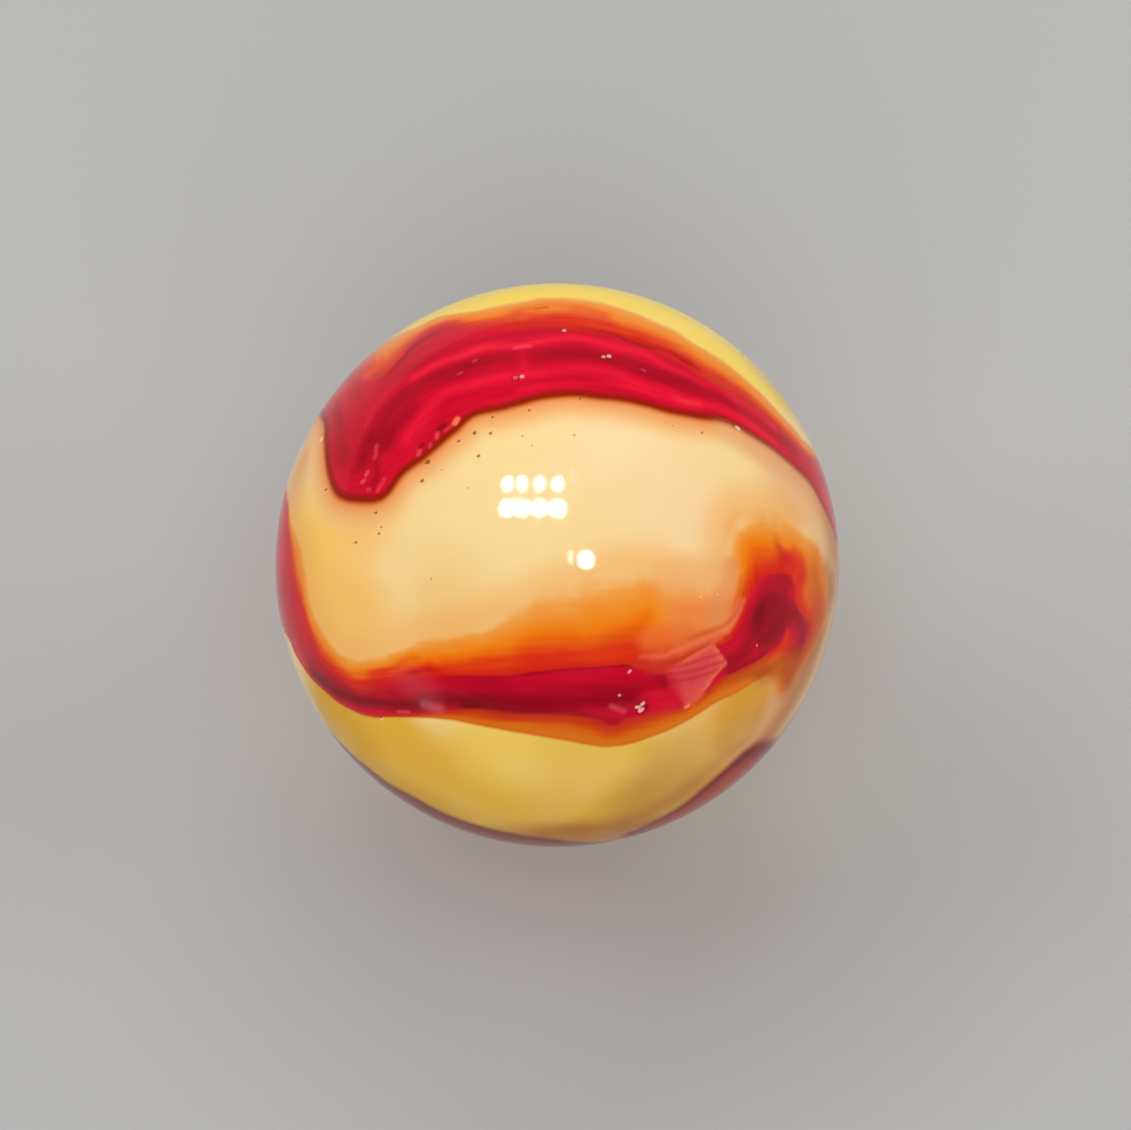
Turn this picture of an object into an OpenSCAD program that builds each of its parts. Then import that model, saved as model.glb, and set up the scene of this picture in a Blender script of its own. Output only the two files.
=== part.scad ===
// A machine-made glass marble: one solid ball of swirled opaque glass.
// The origin is the middle of the ball and +Z is up. The ball has no flat to rest on.
// The side that looks forward and up, called the face here, has the swirls' main bands.
// A few gas bubbles broke open on it while the glass was hot, and use left one small nick.

/* [Ball] */
// Diameter of the finished ball
ball_d = 16; // [12:0.5:25]
// Height at which the face looks, in degrees above the level
face_tilt = 60; // [0:5:90]

/* [Open bubbles] */
// How far a bubble's middle lies under the skin, as a share of its radius
bubble_sink = 0.3; // [0:0.05:0.6]
// Factor on every bubble's mouth
bubble_scale = 1; // [0.5:0.1:1.5]

/* [Nick] */
// Length of the nick along the skin
nick_l = 0.36; // [0.2:0.02:0.6]
// Width of the nick
nick_w = 0.1; // [0.06:0.02:0.2]
// Depth of the nick at its middle
nick_depth = 0.02; // [0.01:0.005:0.04]
// Turn of the nick on the face, anticlockwise from level
nick_turn = 14; // [-90:1:90]

/* [Hidden] */
$fn = 96;
ball_r = ball_d / 2;

// Places on the face are mm to the right of its middle and mm above it, on a 16 mm ball
place_d = 16;
place_scale = ball_d / place_d;

// The wheel that cuts the nick: its rim meets the ball over nick_l when it is nick_depth deep
nick_curve_r = nick_l * nick_l / (8 * nick_depth);
nick_wheel_r = 1 / (1 / nick_curve_r - 1 / ball_r);
nick_place = [-0.63, -4.87];

// Open bubbles: right, up and the width of the mouth
BUBBLES = [
    [-3.51, 2.79, 0.24],   // the widest, under the tongue of the upper band
    [-3.66, 2.28, 0.18],
    [-3.12, 2.57, 0.08],
    [-2.66, 3.36, 0.14],   // the group along the upper band's lower edge
    [-2.41, 2.08, 0.08],
    [-2.23, 3.58, 0.18],
    [-2.12, 2.95, 0.16],
    [-1.79, 3.57, 0.16],
    [-1.74, 4.01, 0.12],
    [-0.93, 3.49, 0.08],
    [-0.74, 4.20, 0.12],
    [-0.68, 3.24, 0.08],
    [0.48, 3.51, 0.10],
    [0.65, 4.52, 0.12],    // in the cut of the upper band itself
    [3.18, 3.78, 0.08],
    [3.98, 3.60, 0.14],
    [-6.37, 2.07, 0.14],   // the group round the tongue's tip
    [-5.50, 0.60, 0.16],
    [-4.94, 1.41, 0.16],
    [-4.85, 0.84, 0.14],
    [-4.78, 1.02, 0.10],
    [-3.39, -0.38, 0.08],
    [-4.82, -4.21, 0.16]   // on the lower band's outer edge
];

// Puts its children, drawn about +Z, at a place on the face
module on_face(right, up) {
    across = right * place_scale / ball_r;
    above = up * place_scale / ball_r;
    out = sqrt(1 - across * across - above * above);
    rotate([90 - face_tilt, 0, 0])
        rotate([0, 0, atan2(above, across)])
            rotate([0, acos(out), 0])
                children();
}

// The space left by a gas bubble that broke through the skin
module open_bubble(right, up, mouth) {
    bubble_r = bubble_scale * mouth / 2 / sqrt(1 - bubble_sink * bubble_sink);
    on_face(right, up)
        translate([0, 0, ball_r - bubble_sink * bubble_r])
            sphere(r = bubble_r);
}

// A short round-bottomed nick, the cut of a small wheel with a round rim
module nick() {
    on_face(nick_place[0], nick_place[1])
        rotate([0, 0, nick_turn])
            translate([0, 0, ball_r - nick_depth + nick_wheel_r])
                rotate([90, 0, 0])
                    rotate_extrude()
                        translate([nick_wheel_r - nick_w / 2, 0])
                            circle(d = nick_w);
}

// The whole marble: the ball less its open bubbles and its nick
module marble() {
    color([0.96, 0.86, 0.66])
        difference() {
            sphere(r = ball_r);
            for (b = BUBBLES)
                open_bubble(b[0], b[1], b[2]);
            nick();
        }
}

marble();
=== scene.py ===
# %% [markdown]
# # A swirled glass marble
# The marble is one ball of opaque cream glass, 16 mm across, with ribbons of red glass folded
# into its skin. A machine dropped a hot gob of both glasses between two rollers, which rounded
# it while the ribbons were still soft. Here the ball is made as one mesh, the ribbons are laid
# on it as lines, and one glass material turns those lines into colour.
#
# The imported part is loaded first. It gives the ball's true size and place, in metres.

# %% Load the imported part
import math

import bmesh
import bpy
import numpy as np
from mathutils import Matrix, Vector, noise


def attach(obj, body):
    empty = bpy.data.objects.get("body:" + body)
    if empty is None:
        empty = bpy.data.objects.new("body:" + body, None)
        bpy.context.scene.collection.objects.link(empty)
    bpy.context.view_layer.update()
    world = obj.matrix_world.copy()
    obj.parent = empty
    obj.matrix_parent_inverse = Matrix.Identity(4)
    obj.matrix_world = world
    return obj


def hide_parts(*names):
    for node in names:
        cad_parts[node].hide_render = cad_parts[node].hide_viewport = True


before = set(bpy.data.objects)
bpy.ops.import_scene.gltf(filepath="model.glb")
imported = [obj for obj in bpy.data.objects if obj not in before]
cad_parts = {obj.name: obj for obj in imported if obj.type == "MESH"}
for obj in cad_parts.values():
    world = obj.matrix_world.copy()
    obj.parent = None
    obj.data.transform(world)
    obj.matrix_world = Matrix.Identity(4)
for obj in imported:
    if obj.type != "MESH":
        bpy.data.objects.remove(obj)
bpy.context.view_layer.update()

MM = 0.001
BALL_R = 8 * MM

# %% [markdown]
# ## Places on the ball
# The side that looks forward and up, the face, has the main ribbons, so every place is given
# the way a maker would point at it: so many mm to the right of the face's middle and so many
# above it. A third number of -1 means the same spot on the far side. `on_ball` turns such
# places into points on the skin.

# %% The face's own directions
FACE_TILT = math.radians(60)  # how far the face looks up from the level
RIGHT = np.array([1.0, 0.0, 0.0])
UP = np.array([0.0, math.sin(FACE_TILT), math.cos(FACE_TILT)])
OUT = np.array([0.0, -math.cos(FACE_TILT), math.sin(FACE_TILT)])
R_MM = BALL_R / MM


def on_ball(right, up, side=1):
    """The unit direction from the ball's middle to a place on its skin, in mm on the face."""
    across, above = right / R_MM, up / R_MM
    out = math.sqrt(max(0.0, 1 - across * across - above * above))
    return across * RIGHT + above * UP + side * out * OUT


print("the face looks along", OUT.round(3))

# %% [markdown]
# ## Camera, floor and light
# The camera looks straight at the face from 150 mm, a little to the right of the ball's
# middle. The floor is a plain pale disc under the ball.

# %% Camera
CAMERA_AWAY = 0.150
CAMERA_ASIDE = 0.000236
LENS = 168.06

camera_data = bpy.data.cameras.new("camera")
camera_data.lens = LENS
camera_data.sensor_width = 36
camera_data.clip_start, camera_data.clip_end = 0.01, 20
camera = bpy.data.objects.new("camera", camera_data)
bpy.context.scene.collection.objects.link(camera)
camera_at = OUT * CAMERA_AWAY + RIGHT * CAMERA_ASIDE
turned = Matrix((RIGHT, UP, OUT)).transposed().to_4x4()
camera.matrix_world = Matrix.Translation(Vector(camera_at)) @ turned
bpy.context.scene.camera = camera
print("camera at", camera_at.round(4))

# %% [markdown]
# Colours are chosen as they look on a screen, but the shader counts in light, so `paint` turns
# the one into the other. `put` adds a node and joins or fills its sockets in one line, which
# keeps each material as short as its description.

# %% Helpers for colours and nodes


def paint(red, green, blue):
    """A colour as it looks on a screen, as the shader's amounts of light (the sRGB curve)."""
    light = [
        part / 12.92 if part <= 0.04045 else ((part + 0.055) / 1.055) ** 2.4
        for part in (red, green, blue)
    ]
    return (*light, 1.0)


def fill(tree, socket, value):
    """Joins an input to another node's output, or sets the number or colour in it."""
    if isinstance(value, bpy.types.NodeSocket):
        tree.links.new(value, socket)
    else:
        socket.default_value = value


def put(tree, kind, sockets=None, **settings):
    """Adds a node. sockets says what goes into each input: a number, a colour or an output."""
    made = tree.nodes.new("ShaderNode" + kind)
    for name, value in settings.items():
        setattr(made, name, value)
    for name, value in (sockets or {}).items():
        fill(tree, made.inputs[name], value)
    return made


def sums(tree, operation, *values):
    """The result of a Math node."""
    return put(tree, "Math", dict(enumerate(values)), operation=operation).outputs[0]


def between(tree, value, start, end, low=0.0, high=1.0, soft=True):
    """Runs from low to high as value runs from start to end, with soft ends or straight."""
    kind = "SMOOTHSTEP" if soft else "LINEAR"
    ends = {0: value, 1: start, 2: end, 3: low, 4: high}
    return put(tree, "MapRange", ends, interpolation_type=kind).outputs[0]


def blend(tree, share, below, above):
    """Mixes two colours: share 0 shows the one below, 1 the one above."""
    made = put(tree, "Mix", {0: share}, data_type="RGBA")
    fill(tree, made.inputs[6], below)
    fill(tree, made.inputs[7], above)
    return made.outputs[2]


def ramp(tree, value, stops):
    """A ColorRamp from a list of (place, colour)."""
    made = put(tree, "ValToRGB", {0: value})
    steps = made.color_ramp.elements
    while len(steps) < len(stops):
        steps.new(1.0)
    for step, (place, colour) in zip(steps, stops):
        step.position, step.color = place, colour
    return made.outputs[0]


print("screen grey 0.5 is light", round(paint(0.5, 0.5, 0.5)[0], 3))

# %% [markdown]
# The floor is one wide disc of matt pale paint, level with the ball's lowest point, so that
# the ball stands in its own soft shadow.

# %% Floor
FLOOR_R = 2.0
FLOOR_PALE = (0.71, 0.71, 0.705)

floor_mesh = bpy.data.meshes.new("floor")
disc = bmesh.new()
bmesh.ops.create_circle(disc, cap_ends=True, segments=96, radius=FLOOR_R)
bmesh.ops.translate(disc, verts=disc.verts, vec=(0, 0, -BALL_R))
disc.to_mesh(floor_mesh)
disc.free()
floor = bpy.data.objects.new("floor", floor_mesh)
bpy.context.scene.collection.objects.link(floor)

floor_paint = bpy.data.materials.new("pale floor")
floor_paint.use_nodes = True
floor_shader = floor_paint.node_tree.nodes["Principled BSDF"]
floor_shader.inputs["Base Color"].default_value = paint(*FLOOR_PALE)
floor_shader.inputs["Roughness"].default_value = 1.0
floor_shader.inputs["Specular IOR Level"].default_value = 0.0
floor_mesh.materials.append(floor_paint)
print("floor at z", -BALL_R)

# %% [markdown]
# The light is what a bench has: a ceiling panel of two rows of four tubes nearly overhead, a
# small round lamp near the viewer, and soft light from all round. Glass shows a lamp as a
# bright spot, so each lamp is placed by where its spot should sit on the ball. Light leaves the
# skin as it came in, mirrored about the skin's own direction there.

# %% Lamps and the light all round
LAMP_AWAY = 0.5
PANEL_COLUMNS = [-1.31, -0.92, -0.46, 0.03]  # where the tubes show, mm to the right
PANEL_ROWS = [(2.17, 0.33, 0.48), (1.52, 0.50, 0.54)]  # mm up, and the spots' width and height
PANEL_LIGHT = 60
# The single lamps' spots: mm to the right, mm up, width and height
ROUND_SPOT = (0.775, 0.14, 0.48, 0.52)
ROUND_LIGHT = 68
GLINT_SPOT = (0.37, 0.22, 0.12, 0.40)
GLINT_LIGHT = 52
GLEAM_SPOT = (0.42, 2.45, 0.12, 0.55)
GLEAM_LIGHT = 6
ROOM_LIGHT = 0.30
BOX_SIDE = 0.7  # the soft boxes that stand round the bench
BOX_AWAY = 0.8
# Each soft box: the way it stands, round from the front, its height in degrees and its light
BOXES = [(0, 35, 2.4), (250, 35, 1.7), (180, 30, 1.7), (100, 25, 1.6)]
NEARLY_OVERHEAD = 0.7  # from this share of straight up, a lamp is squared up with the face


def hang(data, to_lamp, away):
    """Puts a lamp out along a direction, facing the ball, level with the face."""
    made = bpy.data.objects.new(data.name, data)
    bpy.context.scene.collection.objects.link(made)
    level = np.cross([0.0, 0.0, 1.0], to_lamp)
    if abs(to_lamp[2]) > NEARLY_OVERHEAD:
        level = RIGHT - RIGHT.dot(to_lamp) * to_lamp
    level /= np.linalg.norm(level)
    axes = Matrix((level, np.cross(to_lamp, level), to_lamp)).transposed().to_4x4()
    made.matrix_world = Matrix.Translation(Vector(to_lamp * away)) @ axes
    return made


def lamp(name, right, up, wide, tall, light):
    """An area lamp whose spot on the ball is at this place and has this size, in mm."""
    skin = on_ball(right, up)
    to_eye = camera_at - skin * BALL_R
    to_eye /= np.linalg.norm(to_eye)
    to_lamp = 2 * skin.dot(to_eye) * skin - to_eye
    data = bpy.data.lights.new(name, "AREA")
    data.shape = "ELLIPSE"
    data.size = 2 * wide / R_MM * LAMP_AWAY
    data.size_y = 2 * tall / R_MM * LAMP_AWAY
    data.energy = light * data.size * data.size_y * math.pi / 4 * math.pi
    # it only shows in the gloss, because the soft boxes light the ball
    hang(data, to_lamp, LAMP_AWAY).visible_diffuse = False
    return to_lamp


for row, wide, tall in PANEL_ROWS:
    for column in PANEL_COLUMNS:
        panel_way = lamp("panel tube", column, row, wide, tall, PANEL_LIGHT)
round_way = lamp("round lamp", *ROUND_SPOT, ROUND_LIGHT)
lamp("lamp's glint", *GLINT_SPOT, GLINT_LIGHT)
lamp("gleam beside the panel", *GLEAM_SPOT, GLEAM_LIGHT)
for turn, height, light in BOXES:
    box_lamp = bpy.data.lights.new("soft box", "AREA")
    box_lamp.shape = "SQUARE"
    box_lamp.size = BOX_SIDE
    box_lamp.energy = light * BOX_SIDE**2 * math.pi
    turn, height = math.radians(turn), math.radians(height)
    ahead = np.array([math.sin(turn), -math.cos(turn), 0.0]) * math.cos(height)
    to_box = ahead + np.array([0.0, 0.0, math.sin(height)])
    # it lights the ball but doesn't show in the gloss
    hang(box_lamp, to_box, BOX_AWAY).visible_glossy = False

world = bpy.data.worlds.new("room")
world.use_nodes = True
world.node_tree.nodes["Background"].inputs["Color"].default_value = (1, 1, 1, 1)
world.node_tree.nodes["Background"].inputs["Strength"].default_value = ROOM_LIGHT
bpy.context.scene.world = world
bpy.context.scene.view_settings.view_transform = "Standard"
print("panel towards", panel_way.round(2), "round lamp towards", round_way.round(2))

# %% [markdown]
# ## The ball
# Blender's own sphere has poles where thin triangles crowd, and no good way to lay a flat map
# on it. An octahedron has eight equal sides. Each round of cuts splits every triangle in four
# and pushes the new corners out to the skin, so the triangles stay alike all over. Its eight
# sides also lie flat as a square with the four back sides folded out at the corners, so the
# map is made while there are eight triangles and the cuts carry it along.

# %% The octahedron, its map and the cuts
CUT_ROUNDS = 7
MAP_NAME = "OFBake"


def to_face(direction):
    """How far a direction goes to the face's right, up and out."""
    return np.array([RIGHT.dot(direction), UP.dot(direction), OUT.dot(direction)])


def push_out(mesh, radius):
    """Moves every corner of a bmesh out to the ball's skin."""
    for corner in mesh.verts:
        corner.co *= radius / corner.co.length


ball = bmesh.new()
bmesh.ops.create_uvsphere(ball, u_segments=4, v_segments=2, radius=BALL_R)
bmesh.ops.rotate(ball, verts=ball.verts, matrix=turned.to_3x3())
flat_map = ball.loops.layers.uv.new(MAP_NAME)
for side in ball.faces:
    middle = to_face(np.array(side.calc_center_median()))
    for loop in side.loops:
        right, up, out = to_face(np.array(loop.vert.co)) / BALL_R
        if out < -0.5:  # the far corner folds out to the map's corner next to this side
            right, up = np.sign(middle[0]), np.sign(middle[1])
        loop[flat_map].uv = (0.5 + 0.5 * right, 0.5 + 0.5 * up)
for _ in range(CUT_ROUNDS):
    bmesh.ops.subdivide_edges(ball, edges=ball.edges[:], cuts=1, use_grid_fill=True)
    push_out(ball, BALL_R)
print("ball of", len(ball.faces), "triangles")

# %% [markdown]
# ## Open bubbles and the nick
# A few gas bubbles broke through the skin while the glass was hot and left tiny round pits,
# and use has left one short nick. They are real hollows, so the mesh is cut finer just round
# them and its corners are pressed in.

# %% Finer cuts where the pits go
# Each pit: mm to the right, mm up and the width of its mouth
PITS = [
    (-3.51, 2.79, 0.24), (-3.66, 2.28, 0.18), (-3.12, 2.57, 0.08), (-2.66, 3.36, 0.14),
    (-2.41, 2.08, 0.08), (-2.23, 3.58, 0.18), (-2.12, 2.95, 0.16), (-1.79, 3.57, 0.16),
    (-1.74, 4.01, 0.12), (-0.93, 3.49, 0.08), (-0.74, 4.20, 0.12), (-0.68, 3.24, 0.08),
    (0.48, 3.51, 0.10), (0.65, 4.52, 0.12), (3.18, 3.78, 0.08), (3.98, 3.60, 0.14),
    (-6.37, 2.07, 0.14), (-5.50, 0.60, 0.16), (-4.94, 1.41, 0.16), (-4.85, 0.84, 0.14),
    (-4.78, 1.02, 0.10), (-3.39, -0.38, 0.08), (-4.82, -4.21, 0.16),
]
NICK_PLACE, NICK_TURN = (-0.63, -4.87), math.radians(14)
NICK_LONG, NICK_WIDE, NICK_DEEP = 0.36, 0.10, 0.02
# Places along the middles of the two ribbons, whose fine streaks need smaller triangles too
STREAKED = [
    (-5.7, 2.8), (-5.5, 4.0), (-4.4, 4.6), (-3.2, 5.0), (-2.0, 5.4), (-0.8, 5.6), (0.4, 5.7),
    (1.6, 5.5), (2.8, 5.2), (4.0, 4.8), (5.2, 4.3), (6.3, 3.5), (-6.4, -3.0), (-5.2, -3.5),
    (-4.0, -3.4), (-2.8, -3.4), (-1.6, -3.4), (-0.4, -3.3), (0.8, -3.3), (2.0, -3.4), (3.2, -3.1),
    (4.2, -2.6), (5.2, -2.1), (6.1, -1.4), (6.0, -0.3), (6.6, -2.4), (4.9, -1.1), (4.0, -1.9),
    (-4.6, -2.6),
]
STREAKED_REACH = 0.85  # mm round each of these places
FINE_MARGINS = [0.22, 0.12, 0.06]  # how far round a hollow each round of finer cuts goes, mm


def cut_finer(mesh, spots, margin):
    """Halves the edges that lie within margin of any spot, then makes the faces triangles again."""
    where = np.array([corner.co for corner in mesh.verts]) / MM
    close = np.zeros(len(where), bool)
    for middle, reach in spots:
        close |= np.linalg.norm(where - middle, axis=1) < reach + margin
    near = {corner for corner, is_near in zip(mesh.verts, close) if is_near}
    edges = [edge for edge in mesh.edges if edge.verts[0] in near or edge.verts[1] in near]
    bmesh.ops.subdivide_edges(mesh, edges=edges, cuts=1, use_grid_fill=True)
    many = [side for side in mesh.faces if len(side.verts) > 3]
    bmesh.ops.triangulate(mesh, faces=many)
    push_out(mesh, BALL_R)


cut_finer(ball, [(on_ball(right, up) * R_MM, STREAKED_REACH) for right, up in STREAKED], 0.0)
spots = [(on_ball(right, up) * R_MM, mouth / 2) for right, up, mouth in PITS]
spots.append((on_ball(*NICK_PLACE) * R_MM, NICK_LONG / 2))
for margin in FINE_MARGINS:
    cut_finer(ball, spots, margin)
print("with finer cuts", len(ball.faces), "triangles")

# %% [markdown]
# A pit is the bottom of a small round bubble whose middle lay just under the skin. Its lip is
# rounded, because hot glass draws back from an edge. Each pit is painted with a short dark dash
# in its upper left, partly real dust and partly painted shade on the wall turned from the
# light, and a pale painted highlight on its lit lower right wall, so `dust_and_shade` and
# `pit_highlight` hold where each lies.

# %% Press in the pits and the nick
BUBBLE_SINK = 0.3  # how deep the bubble's middle lay, as a share of its radius
LIP = 0.8  # share of the mouth over which the lip is rounded
FILLED = 0.5  # share of each pit that dust has filled
DASH_TURN = math.radians(33)  # the dust with painted shade, and the painted highlight, lie as short dashes turned this far from the level
DASH_LONG = math.cos(DASH_TURN) * RIGHT + math.sin(DASH_TURN) * UP
DASH_UP = math.cos(DASH_TURN) * UP - math.sin(DASH_TURN) * RIGHT
# The dust with painted shade, and the painted highlight: how far off the middle, and the half
# width, as shares of the mouth
DUST_AND_SHADE, PIT_HIGHLIGHT = (0.12, 0.21), (-0.20, 0.26)
DASH = 1.9  # how many times longer than wide both are


def soft_step(x):
    """0 below 0, 1 above 1, and a soft rise between."""
    x = np.clip(x, 0, 1)
    return x * x * (3 - 2 * x)


ball.verts.ensure_lookup_table()
skin = np.array([corner.co for corner in ball.verts]) / BALL_R
pressed = np.zeros(len(skin))
dust_and_shade, pit_highlight = np.zeros(len(skin)), np.zeros(len(skin))
for right, up, mouth in PITS:
    middle = on_ball(right, up)
    away = np.linalg.norm(skin - middle, axis=1) * R_MM
    bubble_r = mouth / 2 / math.sqrt(1 - BUBBLE_SINK**2)
    bowl = np.sqrt(np.maximum(bubble_r**2 - away**2, 0)) + BUBBLE_SINK * bubble_r
    depth = bowl * soft_step((mouth / 2 - away) / (LIP * mouth / 2))
    pressed = np.maximum(pressed, depth * (1 - FILLED))
    lengthwise = (skin - middle) @ DASH_LONG * R_MM / mouth / DASH
    # the first layer is dust with painted shade in the pit's upper left, the second a painted
    # highlight in its lower right
    for layer_made, (off_middle, half) in ((dust_and_shade, DUST_AND_SHADE), (pit_highlight, PIT_HIGHLIGHT)):
        crosswise = (skin - middle) @ DASH_UP * R_MM / mouth - off_middle
        off = np.where(away < mouth, np.hypot(lengthwise, crosswise), 1)
        np.maximum(layer_made, soft_step(2 * (half - off) / half), out=layer_made)

middle = on_ball(*NICK_PLACE)
nick_way = math.cos(NICK_TURN) * RIGHT + math.sin(NICK_TURN) * UP
nick_way = nick_way - nick_way.dot(middle) * middle
nick_way /= np.linalg.norm(nick_way)
lengthwise = (skin - middle) @ nick_way * R_MM / (NICK_LONG / 2)
crosswise = (skin - middle) @ np.cross(middle, nick_way) * R_MM / (NICK_WIDE / 2)
scoop = np.maximum(0, 1 - lengthwise**2 - crosswise**2) * (skin @ middle > 0)
pressed = np.maximum(pressed, NICK_DEEP * scoop)
for corner, depth in zip(ball.verts, pressed):
    corner.co *= (R_MM - depth) / R_MM
print(len(PITS), "pits and a nick, the deepest", round(pressed.max(), 3), "mm")

# %% [markdown]
# The skin's faces are shaded smooth, and the mesh becomes an object of its own.

# %% Make the ball an object
for side in ball.faces:
    side.smooth = True
bmesh.ops.recalc_face_normals(ball, faces=ball.faces)
marble_mesh = bpy.data.meshes.new("swirl_ball")
ball.to_mesh(marble_mesh)
ball.free()
marble = bpy.data.objects.new("swirl_ball", marble_mesh)
bpy.context.scene.collection.objects.link(marble)
print("swirl_ball has", len(marble_mesh.vertices), "corners")

# %% [markdown]
# ## The ribbons' outlines
# A ribbon's outline is a short list of places round it, and a smooth curve through them gives
# the rest. Each place also says over how many mm the colour turns there: a ribbon that was cut
# off sharply has a crisp edge, and one that melted into the cream has a wide one. `outline`
# takes stretches of such places, each with its own blur.

# %% Smooth lines on the ball
CURVE_STEPS = 8  # points of the curve between two places
CRISP_BLUR = 0.05  # mm over which a sheared edge turns


def stretch(places, blur=CRISP_BLUR, side=1):
    """Places along one stretch of a line, each as its point on the unit ball and its blur in mm."""
    rows = []
    for place in places:
        rows.append([*on_ball(place[0], place[1], side), place[2] if len(place) > 2 else blur])
    return rows


def smooth_line(rows, closed):
    """A smooth curve through the rows, as many rows of the same kind."""
    rows = np.array(rows, float)
    count = len(rows)
    spans = count if closed else count - 1
    found = []
    for i in range(spans):
        if closed:
            a, b, c, d = (rows[(i + k) % count] for k in (-1, 0, 1, 2))
        else:
            a, b, c, d = (rows[min(max(i + k, 0), count - 1)] for k in (-1, 0, 1, 2))
        for t in np.arange(CURVE_STEPS) / CURVE_STEPS:
            found.append(
                0.5 * (2 * b + (c - a) * t + (2 * a - 5 * b + 4 * c - d) * t**2
                       + (3 * b - a - 3 * c + d) * t**3)
            )
    if not closed:
        found.append(rows[-1])
    found = np.array(found)
    found[:, :3] /= np.linalg.norm(found[:, :3], axis=1)[:, None]
    return found


ring = smooth_line(stretch([(5, 0), (0, 5), (-5, 0), (0, -5)]), closed=True)
print("a ring through 4 places has", len(ring), "points")

# %% [markdown]
# For every corner of the mesh, `nearest_on` finds the closest point of a line, on which side of
# the line the corner is and how far along. `inside` flattens the ball as seen from the far side
# of a ribbon and counts how often the outline is crossed, which tells inside from outside.

# %% Measure every corner against a line
CHUNK = 4096
WOBBLE = 0.025  # mm by which the lines waver, as drawn glass does
WOBBLE_SCALE = 1.1  # wavers per mm
WOBBLE_SEED = 5  # without a seed the noise would start elsewhere in every run

noise.seed_set(WOBBLE_SEED)
places = np.array([
    Vector(p) + noise.noise_vector(Vector(p) * R_MM * WOBBLE_SCALE) * WOBBLE / R_MM
    for p in skin.tolist()
])
places /= np.linalg.norm(places, axis=1)[:, None]


def nearest_on(line, closed):
    """For each corner: its distance from the line in mm, its side (-1 or 1), the value that the
    line has there, and how far along the line that is, in mm."""
    ends = np.roll(line, -1, axis=0) if closed else line[1:]
    starts = line if closed else line[:-1]
    steps = ends - starts
    lengths = np.linalg.norm(steps[:, :3], axis=1)
    travelled = np.concatenate([[0], np.cumsum(lengths)[:-1]])
    best = np.full(len(places), np.inf)
    found = np.zeros((len(places), 3))
    closest = np.concatenate([
        (places[i:i + CHUNK] @ line[:, :3].T).argmax(1) for i in range(0, len(places), CHUNK)
    ])
    for back in (-1, 0):
        if closed:
            span = (closest + back) % len(starts)
        else:
            span = np.clip(closest + back, 0, len(starts) - 1)
        way = steps[span, :3]
        gap = places - starts[span, :3]
        share = np.clip((gap * way).sum(1) / np.maximum((way**2).sum(1), 1e-12), 0, 1)
        off = gap - way * share[:, None]
        distance = np.linalg.norm(off, axis=1)
        turn = (np.cross(way, off) * places).sum(1)
        better = distance < best
        best = np.where(better, distance, best)
        here = np.stack([
            np.where(turn < 0, -1, 1),
            starts[span, 3] + share * steps[span, 3],
            travelled[span] + share * lengths[span],
        ], 1)
        found[better] = here[better]
    return best * R_MM, found[:, 0], found[:, 1], found[:, 2] * R_MM


def inside(line):
    """Whether each corner is inside a closed line that goes round less than the whole ball."""
    middle = line[:, :3].mean(0)
    middle /= np.linalg.norm(middle)
    one = np.cross(middle, [0.3, 0.5, 0.81])
    one /= np.linalg.norm(one)
    other = np.cross(middle, one)

    def flat(points):
        near = 1 + points @ middle
        return points @ one / np.maximum(near, 1e-6), points @ other / np.maximum(near, 1e-6)

    x1, y1 = flat(line[:, :3])
    x2, y2 = np.roll(x1, -1), np.roll(y1, -1)
    result = np.zeros(len(places), bool)
    for i in range(0, len(places), CHUNK):
        x, y = (values[:, None] for values in flat(places[i:i + CHUNK]))
        crossed = (y1 > y) != (y2 > y)
        rise = np.where(y2 == y1, 1e-12, y2 - y1)
        crossed &= x < (x2 - x1) * (y - y1) / rise + x1
        result[i:i + CHUNK] = crossed.sum(1) % 2 == 1
    return result


FAR = -99.0


def depth_in(rows):
    """How many mm each corner is inside an outline, and the outline's blur nearest to it."""
    line = smooth_line(rows, closed=True)
    distance, _, blur, _ = nearest_on(line, closed=True)
    return np.where(inside(line), distance, -distance), blur


def depth_in_band(rows):
    """How many mm each corner is inside a band about a middle line, whose rows hold its half
    width."""
    distance, _, half, _ = nearest_on(smooth_line(rows, closed=False), closed=False)
    return half - distance


print("the ring holds", round(inside(ring).mean() * 100), "% of the corners")

# %% [markdown]
# ### The upper ribbon
# It comes over the left shoulder, hangs down there in a broad tongue, and then runs across the
# face to the right and thins out. Its lower edge was sheared, so it is crisp. Along the top it
# melts through orange into yellow glass.

# %% Outlines of the upper ribbon
UPPER_EDGE = [
    (-6.62, 4.45), (-6.43, 4.1), (-6.37, 3.5), (-6.32, 3.0), (-6.24, 2.6), (-6.1, 2.2),
    (-5.92, 1.99), (-5.7, 1.89), (-5.45, 1.85), (-5.2, 1.83), (-4.97, 1.84), (-4.77, 1.91),
    (-4.62, 2.05), (-4.5, 2.22), (-4.36, 2.42), (-4.2, 2.6), (-4.0, 2.75), (-3.74, 2.92),
    (-3.5, 3.12), (-3.25, 3.33), (-3.0, 3.55), (-2.75, 3.75), (-2.5, 4.0), (-2.25, 4.16),
    (-2.0, 4.24), (-1.5, 4.33), (-1.0, 4.46), (-0.5, 4.6), (0.0, 4.68), (0.5, 4.7), (1.0, 4.64),
    (1.5, 4.6), (2.0, 4.53), (2.5, 4.42), (3.0, 4.27), (3.5, 4.18), (4.0, 4.12), (4.5, 4.05),
    (5.0, 3.84), (5.5, 3.55), (6.0, 3.23), (6.5, 2.83), (7.0, 2.38), (7.3, 1.95), (7.55, 1.5),
    (7.75, 1.05), (7.88, 0.8),
]
UPPER_BEHIND_RIGHT = [(7.95, 0.35), (7.75, 0.1), (7.3, 0.6), (7.4, 1.6), (7.5, 2.4)]
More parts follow.
